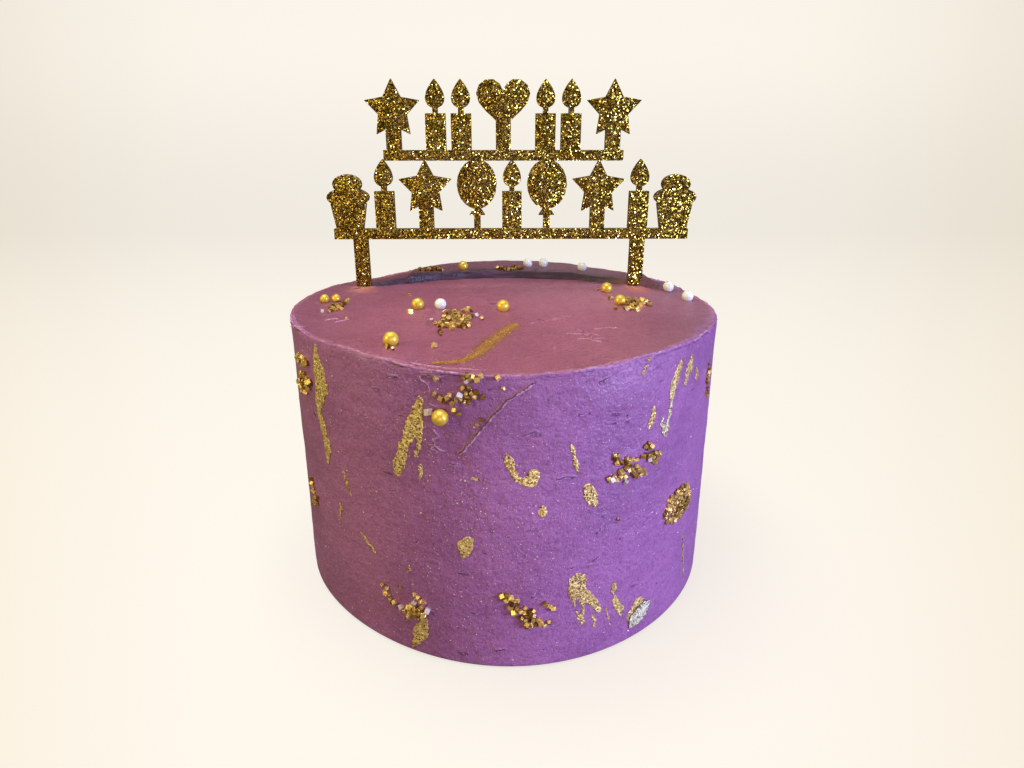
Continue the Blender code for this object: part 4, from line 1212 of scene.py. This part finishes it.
# Heaps on the side, stroke by stroke: two ends, half thickness, count and crystal size
SIDE_HEAPS = (
    ((((-13.5, 0.1015), (-8.0, 0.1020)), 0.0016, 10, 0.0014),
     (((-8.5, 0.1060), (-6.5, 0.1045)), 0.0012, 7, 0.0014),
     (((-9.0, 0.1090), (-5.5, 0.1100)), 0.0013, 9, 0.0014),
     (((-10.5, 0.0985), (-9.5, 0.0970)), 0.0005, 2, 0.0014)),
    ((((24.5, 0.0795), (25.5, 0.0775)), 0.0010, 4, 0.0012),
     (((25.0, 0.0765), (30.5, 0.0750)), 0.0013, 10, 0.0014),
     (((24.0, 0.0715), (27.5, 0.0705)), 0.0018, 10, 0.0016),
     (((28.5, 0.0730), (33.5, 0.0695)), 0.0018, 14, 0.0015),
     (((33.0, 0.0785), (35.5, 0.0780)), 0.0014, 7, 0.0015),
     (((33.0, 0.0755), (38.5, 0.0745)), 0.0012, 10, 0.0015),
     (((36.0, 0.0720), (38.0, 0.0720)), 0.0010, 4, 0.0015)),
    ((((-32.5, 0.0250), (-30.5, 0.0245)), 0.0007, 3, 0.0014),
     (((-31.0, 0.0220), (-28.5, 0.0185)), 0.0008, 6, 0.0014),
     (((-24.5, 0.0170), (-20.5, 0.0175)), 0.0018, 9, 0.0016),
     (((-24.0, 0.0195), (-20.0, 0.0210)), 0.0010, 7, 0.0014),
     (((-22.0, 0.0255), (-20.0, 0.0235)), 0.0008, 5, 0.0014)),
    ((((0.0, 0.0310), (2.5, 0.0275)), 0.0014, 8, 0.0015),
     (((1.5, 0.0255), (6.0, 0.0240)), 0.0014, 10, 0.0015),
     (((4.0, 0.0220), (7.0, 0.0205)), 0.0014, 8, 0.0015),
     (((4.5, 0.0190), (10.0, 0.0185)), 0.0010, 7, 0.0016),
     (((9.0, 0.0270), (11.0, 0.0245)), 0.0006, 4, 0.0015)),
    ((((-66.0, 0.0985), (-58.0, 0.1000)), 0.0022, 14, 0.0015),
     (((-65.5, 0.0890), (-58.5, 0.0925)), 0.0040, 20, 0.0016),
     (((-64.5, 0.0490), (-64.0, 0.0440)), 0.0008, 4, 0.0015),
     (((-64.5, 0.0400), (-61.0, 0.0425)), 0.0016, 5, 0.0017)),
    ((((63.5, 0.0960), (63.5, 0.0845)), 0.0016, 15, 0.0012),),
    ((((106.8, 0.0540), (117.2, 0.0580)), 0.0034, 40, 0.0018),),
    ((((145.4, 0.0914), (136.6, 0.0946)), 0.0036, 36, 0.0018),),
    ((((160.4, 0.0346), (171.4, 0.0414)), 0.0034, 40, 0.0018),),
    ((((-159.8, 0.0746), (-170.2, 0.0774)), 0.0034, 38, 0.0018),),
    ((((-133.2, 0.0240), (-142.8, 0.0300)), 0.0034, 38, 0.0018),),
    ((((-111.4, 0.0592), (-104.6, 0.0648)), 0.0034, 30, 0.0018),),
)

# Heaps on top, disc by disc: x, y, half width, half depth, count and crystal size
TOP_HEAPS = (
    ((-0.0210, -0.0165, 0.0026, 0.0020, 4, 0.0017),
     (-0.0205, -0.0255, 0.0036, 0.0040, 8, 0.0017),
     (-0.0150, -0.0150, 0.0020, 0.0030, 4, 0.0016),
     (-0.0155, -0.0255, 0.0030, 0.0046, 9, 0.0016),
     (-0.0240, -0.0330, 0.0022, 0.0040, 6, 0.0016),
     (-0.0200, -0.0350, 0.0022, 0.0050, 7, 0.0017),
     (-0.0150, -0.0350, 0.0028, 0.0036, 9, 0.0016)),
    ((-0.0685, -0.0110, 0.0020, 0.0042, 13, 0.0012),
     (-0.0675, -0.0070, 0.0022, 0.0012, 5, 0.0014),
     (-0.0655, -0.0115, 0.0010, 0.0024, 4, 0.0012),
     (-0.0650, -0.0005, 0.0010, 0.0036, 5, 0.0013)),
    ((0.0525, 0.0010, 0.0032, 0.0040, 8, 0.0016),
     (0.0565, -0.0030, 0.0030, 0.0040, 9, 0.0017),
     (0.0525, -0.0070, 0.0040, 0.0030, 7, 0.0017),
     (0.0500, -0.0125, 0.0034, 0.0030, 8, 0.0014)),
    ((-0.0355, 0.0500, 0.0066, 0.0026, 26, 0.0016),),
    ((0.0018, 0.0505, 0.0066, 0.0026, 26, 0.0016),),
)

# Fine sugar in one dense patch: two ends, half thickness, and the bare spot in it
PATCH_ENDS = ((47.0, 0.0482), (53.0, 0.0482))
PATCH_HALF = 0.0064
PATCH_BARE = (53.5, 0.0480, 0.0016)
PATCH_COUNT = 150
PATCH_SIZE = 0.0013

# Crystals one by one, gold then white: azimuth, height and size in millimetres on the side,
# and x, y and size on top
SIDE_STRAYS = (
    (-14.5, 108, 1.3), (-15, 103, 1.2), (-4.5, 103.5, 1.6), (-1.5, 110, 1.3), (-0.5, 106.5, 1),
    (-5, 96, 1), (-6, 94, 1), (-26.5, 27, 1.1), (-25, 13, 0.9), (26.5, 54.5, 0.9), (118, 64, 1.6),
    (150, 30, 1.7), (-176, 52, 1.6), (-128, 66, 1.7), (-94, 86, 1.6),
)
TOP_STRAYS = (
    (-23, -43, 1.6), (-22.5, -46.5, 0.9), (-9, -26, 1.4), (-37, -17, 2), (-41, 12, 1.5),
    (-60, -24, 0.8), (44, 5, 1.5), (43.5, -12.5, 1.3), (-38.5, -63, 1.5), (-36.5, -65, 1.1),
    (-23.5, -60.5, 1.6), (-19, -39.5, 1.3), (41, 22, 0.9),
)
SIDE_WHITE = (
    (-9.5, 103.5, 1.7), (-8, 108.5, 1.3), (-16.5, 96.5, 1.9), (24, 70.5, 1.7), (28, 68, 1.5),
    (35, 73.5, 1.7), (-26.5, 18.5, 1.5), (-22.5, 22.5, 1.4), (-19, 20.5, 1.6),
)
TOP_WHITE = ((-27.5, -28, 1.2), (-11, -21.5, 1.5), (-71.5, -14.5, 1.2), (48, -13.5, 1.2))


def on_side(rows):
    """Rows of azimuth, height and size in millimetres, unrolled in metres."""
    return [(math.radians(a) * CAKE_RADIUS, 0.001 * h, 0.001 * size) for a, h, size in rows]


def on_top(rows):
    """Rows of x, y and size in millimetres, in metres."""
    return [(0.001 * x, 0.001 * y, 0.001 * size) for x, y, size in rows]


def side_normal(across, up):
    """Direction straight out of the side."""
    angle = across / CAKE_RADIUS - 0.5 * math.pi
    return (math.cos(angle), math.sin(angle), 0.0)


def top_normal(across, up):
    """Direction straight up from the top."""
    return (0.0, 0.0, 1.0)


def seat_on_side(spots, seat):
    """Centres over places on the side given in unrolled metres."""
    spots = np.array(spots).reshape(-1, 2)
    return side_places(np.degrees(spots[:, 0] / CAKE_RADIUS), spots[:, 1], seat)


def seat_on_top(spots, seat):
    """Centres over places on top."""
    spots = np.array(spots).reshape(-1, 2)
    return top_places(spots[:, 0], spots[:, 1], seat)


def laid_turn(draw, sizes, normal, lean):
    """A shape laid flat on a surface, spun at random and leaning a little."""
    tipped = Vector(normal) + Vector([draw.gauss(0.0, lean) for _ in range(3)])
    turn = np.array(tipped.to_track_quat("Z", "Y").to_matrix())
    spin = np.array(Matrix.Rotation(draw.uniform(0.0, math.tau), 3, "Z"))
    return turn @ spin @ np.diag(sizes)


def crystal_turn(draw, size, normal):
    """The lie of one crystal, with uneven sizes and a slight skew."""
    sizes = [size * draw.uniform(*CRYSTAL_SPREAD) for _ in range(3)]
    skew = np.eye(3)
    skew[0, 1] = draw.uniform(-CRYSTAL_SKEW, CRYSTAL_SKEW)
    skew[1, 2] = draw.uniform(-CRYSTAL_SKEW, CRYSTAL_SKEW)
    return laid_turn(draw, sizes, normal, CRYSTAL_LEAN) @ skew


def scattered(count, size, draw, propose):
    """Proposed places, none closer to another than a crystal's size."""
    spots = []
    for _ in range(count * TRIES):
        if len(spots) == count:
            break
        spot = propose()
        if spot and all(math.dist(spot, other[:2]) > CRYSTAL_GAP * size for other in spots):
            spots.append((*spot, size * draw.uniform(0.8, 1.15)))
    return spots


def side_spot(ends, half):
    """A place near the line between two ends on the side."""
    share = draw.random()
    reach = half * math.sqrt(draw.random()) * (0.75 + 0.3 * math.sin(9.0 * share + 40.0 * ends[0][1]))
    turn = draw.uniform(0.0, math.tau)
    (ax, ay), (bx, by) = unrolled(ends)
    return (ax + (bx - ax) * share + reach * math.cos(turn), ay + (by - ay) * share + reach * math.sin(turn))


def disc_spot(x, y, half_width, half_depth):
    """A place on a rough disc on top."""
    turn = draw.uniform(0.0, math.tau)
    reach = math.sqrt(draw.random()) * (0.82 + 0.18 * math.sin(3.0 * turn + 70.0 * x))
    return (x + half_width * reach * math.cos(turn), y + half_depth * reach * math.sin(turn))


def patch_spot():
    """A place in the dense patch, clear of its bare spot."""
    bare = unrolled([PATCH_BARE[:2]])[0]
    spot = side_spot(PATCH_ENDS, PATCH_HALF)
    return spot if math.dist(spot, bare) > PATCH_BARE[2] else None


def pile(rows, seat_on, normal_at, kind):
    """Seat the crystals of a heap; one that lands on others lies on top of them."""
    placed = []
    for across, up, size in rows:
        close = [
            other for other in placed
            if math.dist((across, up), other[:2]) < CRYSTAL_CLOSE * (size + other[2])
        ]
        seat = size * (CRYSTAL_SEAT + CRYSTAL_LIFT * min(len(close), 2))
        placed.append((across, up, size))
        kind.append((seat_on([(across, up)], seat)[0], size, normal_at(across, up)))


bpy.ops.object.select_all(action="DESELECT")
bpy.ops.mesh.primitive_cube_add(size=1.0)
bpy.ops.object.mode_set(mode="EDIT")
bpy.ops.mesh.bevel(offset=CRYSTAL_WORN, segments=1, affect="EDGES")
bpy.ops.object.mode_set(mode="OBJECT")
crystal_shape = read_shape(bpy.context.object)
crystal_points = crystal_shape[0]
crystal_axis = np.abs(crystal_points).argmax(axis=1)
crystal_facet = 2 * crystal_axis + (crystal_points[range(len(crystal_axis)), crystal_axis] > 0)

draw = random.Random(19)
gold = []
white = []
for heap in SIDE_HEAPS:
    rows = []
    for ends, half, count, size in heap:
        rows += scattered(count, size, draw, lambda: side_spot(ends, half))
    pile(rows, seat_on_side, side_normal, gold)
pile(scattered(PATCH_COUNT, PATCH_SIZE, draw, patch_spot), seat_on_side, side_normal, gold)
for heap in TOP_HEAPS:
    rows = []
    for *disc, count, size in heap:
        rows += scattered(count, size, draw, lambda: disc_spot(*disc))
    pile(rows, seat_on_top, top_normal, gold)
pile(on_side(SIDE_STRAYS), seat_on_side, side_normal, gold)
pile(on_top(TOP_STRAYS), seat_on_top, top_normal, gold)
pile(on_side(SIDE_WHITE), seat_on_side, side_normal, white)
pile(on_top(TOP_WHITE), seat_on_top, top_normal, white)


def crystals(name, kind):
    """Crystals of one colour as one joined mesh, each facet with its own tone."""
    turns = [crystal_turn(draw, size, normal) for _, size, normal in kind]
    shaded = np.array([BANK_SHADE if centre[1] > BANK_SHADE_Y else 1.0 for centre, _, _ in kind])
    tones = shaded * [draw.uniform(*CRYSTAL_TONES) for _ in kind]
    facets = np.array([[draw.uniform(-FACET_TONE, FACET_TONE) for _ in range(6)] for _ in kind])
    tones = tones + facets.T[crystal_facet] * shaded
    return stamp(name, crystal_shape, turns, [centre for centre, _, _ in kind], tones)


GOLD_SUGAR_BRIGHT = (0.95, 0.64, 0.23)
GOLD_SUGAR_DEEP = (0.20, 0.085, 0.014)


def gold_sugar(name):
    """Gold lustre over clear sugar, brighter on some facets than on others."""
    material, tree, shader, place = new_material(name)
    tone = read_attribute(tree, "tone")
    wear = noise_value(tree, place, 1400.0, 2.0)
    share = maths(tree, "ADD", maths(tree, "MULTIPLY", tone, 0.8), maths(tree, "MULTIPLY", wear, 0.3))
    colour = blend_colours(tree, ramp(tree, share, 0.2, 0.95), GOLD_SUGAR_DEEP, GOLD_SUGAR_BRIGHT)
    feed(tree, shader, {
        "Base Color": colour,
        "Roughness": ramp(tree, wear, 0.3, 0.7, 0.26, 0.42),
        "Normal": bump(tree, wear, 0.00015),
        "Metallic": 0.62,
    })
    return material


gold_crystals = crystals("gold_crystals", gold)
give_material(gold_crystals, gold_sugar("gold_sugar_coat"))
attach(gold_crystals, "root")

WHITE_SUGAR_CLEAR = (0.58, 0.44, 0.48)
WHITE_SUGAR_CLOUD = (0.82, 0.70, 0.72)


def white_sugar(name):
    """Clear white sugar with a pearly dust."""
    material, tree, shader, place = new_material(name)
    cloud = noise_value(tree, place, 1100.0, 2.0)
    feed(tree, shader, {
        "Base Color": blend_colours(tree, cloud, WHITE_SUGAR_CLEAR, WHITE_SUGAR_CLOUD),
        "Roughness": ramp(tree, cloud, 0.3, 0.7, 0.15, 0.35),
        "Normal": bump(tree, cloud, 0.0002),
        "Subsurface Weight": 0.3,
        "Subsurface Radius": (0.001, 0.001, 0.001),
    })
    return material


white_crystals = crystals("white_crystals", white)
give_material(white_crystals, white_sugar("white_sugar_grain"))
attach(white_crystals, "root")

# Gold dust
# Lustre dust brushed in one streak over the top and blown over the side, where it lies as tiny
# loose flakes. Each flake is a flattened chip that lies almost flat on the icing.
STREAK = (
    (-0.0226, -0.0752), (-0.0150, -0.0738), (-0.0100, -0.0690), (-0.0058, -0.0572),
    (-0.0008, -0.0432), (0.0040, -0.0322),
)
STREAK_WIDTHS = (0.0014, 0.0019, 0.0030, 0.0040, 0.0036, 0.0024)
STREAK_GRAINS = 4600
SIDE_GRAINS = 2900
BRIGHT_GRAINS = 1500
STREAK_GRAIN = 0.00036
STREAK_SEAT = 0.00008
SIDE_SEAT = 0.00006
CHIP_LEAN = 0.25
SIDE_GRAIN = 0.00024
BRIGHT_GRAIN = 0.00034
DUSTED_AZIMUTH = -3.0
DUSTED_HEIGHT = 0.052
DUSTED_WIDTH = 26.0
DUSTED_TALL = 0.034


def chip_turn(draw, size, normal):
    """A chip that lies on a surface, tilted a little at random."""
    sizes = [size * draw.uniform(0.6, 1.3), size * draw.uniform(0.6, 1.3), 0.4 * size]
    return laid_turn(draw, sizes, normal, CHIP_LEAN)


def dusted_spot():
    """A place on the side, most often on the part that got the most dust."""
    while True:
        azimuth = draw.uniform(-180.0, 180.0)
        height = draw.uniform(0.003, 0.108)
        near = bell(azimuth - DUSTED_AZIMUTH, DUSTED_WIDTH) * bell(height - DUSTED_HEIGHT, DUSTED_TALL)
        if draw.random() < 0.16 + 0.84 * near:
            return (math.radians(azimuth) * CAKE_RADIUS, height)


bpy.ops.object.select_all(action="DESELECT")
bpy.ops.mesh.primitive_ico_sphere_add(subdivisions=1, radius=0.5)
bpy.ops.object.mode_set(mode="EDIT")
bpy.ops.transform.resize(value=(1.0, 1.15, 0.9))
bpy.ops.object.mode_set(mode="OBJECT")
grain_shape = read_shape(bpy.context.object)

draw = random.Random(23)
streak = np.array(STREAK)
runs = np.hypot(*(streak[1:] - streak[:-1]).T)
turns = []
spots = []
while len(spots) < STREAK_GRAINS:
    index = draw.choices(range(len(runs)), weights=runs)[0]
    share = draw.random()
    start = streak[index] + (streak[index + 1] - streak[index]) * share
    width = STREAK_WIDTHS[index] + (STREAK_WIDTHS[index + 1] - STREAK_WIDTHS[index]) * share
    aside = draw.gauss(0.0, 0.36 * width)
    heading = (streak[index + 1] - streak[index]) / runs[index]
    spots.append((start[0] - aside * heading[1], start[1] + aside * heading[0]))
    turns.append(chip_turn(draw, STREAK_GRAIN * draw.uniform(0.6, 1.5), (0.0, 0.0, 1.0)))
centres = list(seat_on_top(spots, STREAK_SEAT))
side_spots = [dusted_spot() for _ in range(SIDE_GRAINS + BRIGHT_GRAINS)]
for number, spot in enumerate(side_spots):
    size = BRIGHT_GRAIN if number < BRIGHT_GRAINS else SIDE_GRAIN
    turns.append(chip_turn(draw, size * draw.uniform(0.6, 1.3), side_normal(*spot)))
centres.extend(seat_on_side(side_spots, SIDE_SEAT))
tones = [0.7 if draw.random() < 0.06 else 0.12 * draw.random() for _ in spots]
tones += [draw.uniform(0.85, 1.0) if number < BRIGHT_GRAINS else draw.uniform(0.4, 1.0)
          for number in range(len(side_spots))]
dust = stamp("gold_dust", grain_shape, turns, centres, tones)

DUST_BRIGHT = (1.0, 0.80, 0.72)
DUST_DEEP = (0.50, 0.23, 0.026)


def lustre_dust(name):
    """Tiny metallic flakes, some bright and some deep."""
    material, tree, shader, _ = new_material(name)
    tone = read_attribute(tree, "tone")
    feed(tree, shader, {
        "Base Color": blend_colours(tree, tone, DUST_DEEP, DUST_BRIGHT),
        "Roughness": ramp(tree, tone, 0.0, 1.0, 0.45, 0.28),
        "Metallic": 0.75,
    })
    return material


give_material(dust, lustre_dust("lustre_dust"))
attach(dust, "root")

# Sugar pearls
# Round pearls of pressed sugar, gold and white, set on the top, the bank and the side. Each is
# a ball that is slightly out of round and sunk a little into the icing.
TOP_PEARLS_GOLD = (
    (-0.0380, -0.0588, 0.0052),
    (-0.0348, -0.0093, 0.0050),
    (-0.0009, -0.0127, 0.0050),
    (0.0442, 0.0187, 0.0048),
    (0.0467, -0.0034, 0.0047),
    (-0.0743, 0.0015, 0.0038),
    (-0.0698, 0.0023, 0.0036),
    (-0.0200, 0.0520, 0.0045),
)
TOP_PEARLS_WHITE = (
    (-0.0258, -0.0089, 0.0047),
    (0.0721, 0.0230, 0.0048),
    (0.0770, 0.0080, 0.0049),
    (0.0110, 0.0580, 0.0044),
    (0.0185, 0.0575, 0.0045),
    (0.0365, 0.0500, 0.0044),
)
SIDE_PEARLS_GOLD = (
    (-13.6, 0.0959, 0.0052),
    (152.0, 0.0620, 0.0050),
    (-118.0, 0.0850, 0.0050),
)
PEARL_SUNK = 0.16
PEARL_UNEVEN = 0.012

bpy.ops.object.select_all(action="DESELECT")
bpy.ops.mesh.primitive_ico_sphere_add(subdivisions=4, radius=0.5)
ball = bpy.context.object
places = read_places(ball)
write_places(ball, places * (1.0 + PEARL_UNEVEN * soft_noise(places, 0.45, 31))[:, None])
pearl_shape = read_shape(ball)


def pearls(name, top_rows, side_rows, draw):
    """Pearls of one colour as one joined mesh."""
    turns = []
    centres = []
    for x, y, diameter in top_rows:
        centres.extend(seat_on_top([(x, y)], diameter * (0.5 - PEARL_SUNK)))
    for azimuth, height, diameter in side_rows:
        centres.extend(side_places([azimuth], [height], diameter * (0.5 - PEARL_SUNK)))
    for *_, diameter in (*top_rows, *side_rows):
        turn = Euler([draw.uniform(0.0, math.tau) for _ in range(3)]).to_matrix()
        turns.append(np.array(turn) * diameter)
    piece = stamp(name, pearl_shape, turns, centres, [draw.random() for _ in centres])
    piece.data.shade_smooth()
    return piece


PEARL_GOLD_BRIGHT = (0.94, 0.65, 0.09)
PEARL_GOLD_DEEP = (0.70, 0.42, 0.035)
PEARL_WHITE = (0.90, 0.88, 0.89)
PEARL_WHITE_SHADE = (0.82, 0.79, 0.81)


def pearl_lustre(name, deep, bright, metallic, roughness):
    """Satin lustre, a little patchy where it has rubbed."""
    material, tree, shader, place = new_material(name)
    patches = noise_value(tree, place, 700.0, 3.0, 0.6)
    feed(tree, shader, {
        "Base Color": blend_colours(tree, ramp(tree, patches, 0.35, 0.6), deep, bright),
        "Roughness": ramp(tree, patches, 0.3, 0.7, roughness + 0.1, roughness),
        "Normal": bump(tree, patches, 0.00005),
        "Metallic": metallic,
        "Coat Weight": 0.25,
        "Coat Roughness": 0.2,
    })
    return material


draw = random.Random(29)
gold_pearls = pearls("gold_pearls", TOP_PEARLS_GOLD, SIDE_PEARLS_GOLD, draw)
gold_lustre = pearl_lustre("pearl_gold_lustre", PEARL_GOLD_DEEP, PEARL_GOLD_BRIGHT, 0.40, 0.36)
give_material(gold_pearls, gold_lustre)
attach(gold_pearls, "root")

white_pearls = pearls("white_pearls", TOP_PEARLS_WHITE, (), draw)
white_lustre = pearl_lustre("pearl_white_lustre", PEARL_WHITE_SHADE, PEARL_WHITE, 0.0, 0.28)
give_material(white_pearls, white_lustre)
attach(white_pearls, "root")

# Topper
# One sheet of 3 mm clear acrylic full of gold glitter, cut by laser, on two stakes that stand
# in the cake. Its flat faces are cleaned up and its cut edges get a fine round.
EDGE_ROUND = 0.00018

topper_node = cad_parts["topper"]
sheet = bpy.data.objects.new("topper_sheet", topper_node.data.copy())
bpy.context.scene.collection.objects.link(sheet)
bpy.ops.object.select_all(action="DESELECT")
sheet.select_set(True)
bpy.context.view_layer.objects.active = sheet
bpy.ops.object.mode_set(mode="EDIT")
bpy.ops.mesh.select_all(action="SELECT")
bpy.ops.mesh.remove_doubles(threshold=0.00001)
bpy.ops.mesh.dissolve_limited(angle_limit=math.radians(0.5))
bpy.ops.mesh.normals_make_consistent(inside=False)
bpy.ops.object.mode_set(mode="OBJECT")
bpy.ops.object.modifier_add(type="BEVEL")
sheet.modifiers[-1].width = EDGE_ROUND
sheet.modifiers[-1].segments = 2
sheet.modifiers[-1].limit_method = "ANGLE"
sheet.modifiers[-1].angle_limit = math.radians(50.0)
bpy.ops.object.modifier_apply(modifier=sheet.modifiers[-1].name)
bpy.ops.object.shade_smooth_by_angle(angle=math.radians(30.0))

GLITTER_DARK = (0.024, 0.016, 0.004)
GLITTER_OLIVE = (0.155, 0.100, 0.014)
GLITTER_GOLD = (0.47, 0.30, 0.038)
GLITTER_PALE = (0.95, 0.80, 0.34)
FLAKE_SCALE = 2500.0
FLAKE_TILT = 1.1
CUT_EDGE_NORMAL = 0.9


def glitter_acrylic(name, lightness):
    """Clear acrylic full of glitter, each flake with its own tone and tilt."""
    material, tree, shader, place = new_material(name)
    _, flake_colour, flake_tone = cell_noise(tree, place, FLAKE_SCALE)
    tone = add_node(tree, "ShaderNodeValToRGB", {"Fac": flake_tone})
    stops = tone.color_ramp.elements
    stops[0].position = 0.0
    stops[0].color = (*GLITTER_DARK, 1.0)
    stops[1].position = 1.0
    stops[1].color = (*GLITTER_PALE, 1.0)
    for position, colour in ((0.48, GLITTER_OLIVE), (0.86, GLITTER_GOLD), (0.96, GLITTER_GOLD)):
        stops.new(position).color = (*colour, 1.0)
    tilt = vector_maths(tree, "SUBTRACT", {0: flake_colour, 1: (0.5, 0.5, 0.5)})
    tilt = vector_maths(tree, "SCALE", {0: tilt, "Scale": FLAKE_TILT})
    surface = add_node(tree, "ShaderNodeNewGeometry", {}).outputs["Normal"]
    leaned = vector_maths(tree, "ADD", {0: surface, 1: tilt})
    feed(tree, shader, {
        "Base Color": blend_colours(tree, lightness, tone.outputs["Color"], GLITTER_GOLD),
        "Normal": vector_maths(tree, "NORMALIZE", {0: leaned}),
        "Metallic": 0.92,
        "Roughness": 0.26,
        "Coat Weight": 0.05,
        "Coat Roughness": 0.08,
    })
    return material


give_material(sheet, glitter_acrylic("glitter_acrylic", 0.0), glitter_acrylic("cut_edge", 0.6))
for face in sheet.data.polygons:
    face.material_index = int(abs(face.normal.y) < CUT_EDGE_NORMAL)
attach(sheet, "root")
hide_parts("topper")

# Floor
# A plain pale sweep under and behind the object. It glows with painted light, brighter on the
# wall than on the floor and dimmer away to the sides.
FLOOR_COLOUR = (0.30, 0.285, 0.26)
FLOOR_CLOUD = (0.34, 0.32, 0.29)
FLOOR_GLOW = (0.758, 0.728, 0.672)
WALL_GLOW = (0.88, 0.84, 0.77)
FAR_GLOW = (0.70, 0.62, 0.48)
FLOOR_DROP = 0.0002
FLOOR_HALF = 1.6
SWEEP_BACK = 0.9
SWEEP_RADIUS = 0.5
SWEEP_HEIGHT = 1.6
SWEEP_STEPS = 24

bpy.ops.object.select_all(action="DESELECT")
bpy.ops.mesh.primitive_grid_add(x_subdivisions=2, y_subdivisions=SWEEP_STEPS, size=1.0)
floor = bpy.context.object
floor.name = "floor"
places = read_places(floor)
travel = (places[:, 1] + 0.5) * SWEEP_STEPS
turn = np.clip((travel - 1.0) / (SWEEP_STEPS - 2.0), 0.0, 1.0) * 0.5 * math.pi
flat_y = np.where(travel < 0.5, -FLOOR_HALF, SWEEP_BACK)
floor_y = flat_y + SWEEP_RADIUS * np.sin(turn)
floor_z = SWEEP_RADIUS * (1.0 - np.cos(turn)) + np.where(travel > SWEEP_STEPS - 0.5, SWEEP_HEIGHT, 0.0)
floor_x = places[:, 0] * 2.0 * FLOOR_HALF
write_places(floor, np.stack([floor_x, floor_y, floor_z - FLOOR_DROP], axis=1))
floor.data.shade_smooth()
floor_finish, tree, shader, place = new_material("floor_finish")
cloud = noise_value(tree, place, 1.5, 2.0)
floor_colour = blend_colours(
    tree, ramp(tree, cloud, 0.3, 0.7, 0.0, 0.06), FLOOR_COLOUR, FLOOR_CLOUD
)
parts = add_node(tree, "ShaderNodeSeparateXYZ", {"Vector": place})
# Painted light: the glow is brighter on the wall than on the floor and dimmer away to the sides.
glow = blend_colours(tree, ramp(tree, parts.outputs["Z"], -0.05, 0.35), FLOOR_GLOW, WALL_GLOW)
aside = maths(tree, "ABSOLUTE", parts.outputs["X"])
aside = maths(tree, "DIVIDE", aside, maths(tree, "ADD", parts.outputs["Y"], 0.36))
glow = blend_colours(tree, ramp(tree, aside, 0.3, 1.05, 0.0, 0.9), glow, FAR_GLOW)
feed(tree, shader, {
    "Base Color": floor_colour,
    "Emission Color": glow,
    "Emission Strength": 1.0,
    "Roughness": 0.9,
    "Specular IOR Level": 0.1,
})
give_material(floor, floor_finish)
floor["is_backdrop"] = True

# Light
# A soft light overhead and cool daylight from the right, with weaker warm ones from the left,
# the front and behind. Of these only the one overhead lights the floor.
CAKE_MIDDLE = (0.0, 0.0, 0.08)
SKY_COLOUR = (1.0, 0.86, 0.66, 1.0)
SKY_STRENGTH = 0.12

# Lights that leave the floor out: name, place, size, power and colour
AIMED_LIGHTS = (
    ("left_warm", (-0.56, -0.26, 0.32), 0.3, 1.75, (1.0, 0.97, 0.36)),
    ("front_low", (0.08, -1.1, 0.02), 0.5, 4.8, (1.0, 0.80, 0.56)),
    ("right_cool", (1.16, -0.67, 0.2), 0.6, 28.6, (0.51, 0.62, 1.0)),
    ("back_rim", (0.3, 1.1, 0.8), 0.6, 1.2, (1.0, 0.95, 0.9)),
)


def soft_light(name, place, size, power, colour):
    """Square soft light that looks at the middle of the cake."""
    data = bpy.data.lights.new(name, "AREA")
    data.size = size
    data.energy = power
    data.color = colour
    lamp = bpy.data.objects.new(name, data)
    lamp.location = place
    lamp.rotation_euler = (Vector(CAKE_MIDDLE) - Vector(place)).to_track_quat("-Z", "Y").to_euler()
    bpy.context.scene.collection.objects.link(lamp)
    return lamp


def spare_floor(lamp):
    """Keep a lamp from lighting the floor."""
    spared = bpy.data.collections.new(lamp.name + "_spares")
    spared.objects.link(floor)
    spared.collection_objects[0].light_linking.link_state = "EXCLUDE"
    lamp.light_linking.receiver_collection = spared


soft_light("overhead", (-0.12, -0.04, 1.1), 0.7, 8.8, (1.0, 0.95, 0.86))
for light in AIMED_LIGHTS:
    spare_floor(soft_light(*light))
floor.visible_diffuse = False
floor.visible_glossy = False

world = bpy.data.worlds.new("studio")
bpy.context.scene.world = world
world.use_nodes = True
sky = world.node_tree.nodes["Background"]
feed(world.node_tree, sky, {"Color": SKY_COLOUR, "Strength": SKY_STRENGTH})
bpy.context.scene.view_settings.view_transform = "Standard"

# Camera
# Standing in front and looking down on the cake.
CAMERA_PLACE = (0.0, -0.2830, 0.1823)
CAMERA_TURN = (69.187, 0.013, -0.563)
SENSOR_WIDTH = 36.0
FOCAL_SHARE = 705.53 / 1024.0

camera_data = bpy.data.cameras.new("camera")
camera_data.sensor_fit = "HORIZONTAL"
camera_data.sensor_width = SENSOR_WIDTH
camera_data.lens = SENSOR_WIDTH * FOCAL_SHARE
camera_data.clip_start = 0.01
camera = bpy.data.objects.new("camera", camera_data)
camera.location = CAMERA_PLACE
camera.rotation_euler = [math.radians(turn) for turn in CAMERA_TURN]
bpy.context.scene.collection.objects.link(camera)
bpy.context.scene.camera = camera

shown_low, shown_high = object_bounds()
size = {
    "cad": [list(solid_low), list(solid_high)],
    "visual": [list(shown_low), list(shown_high)],
}
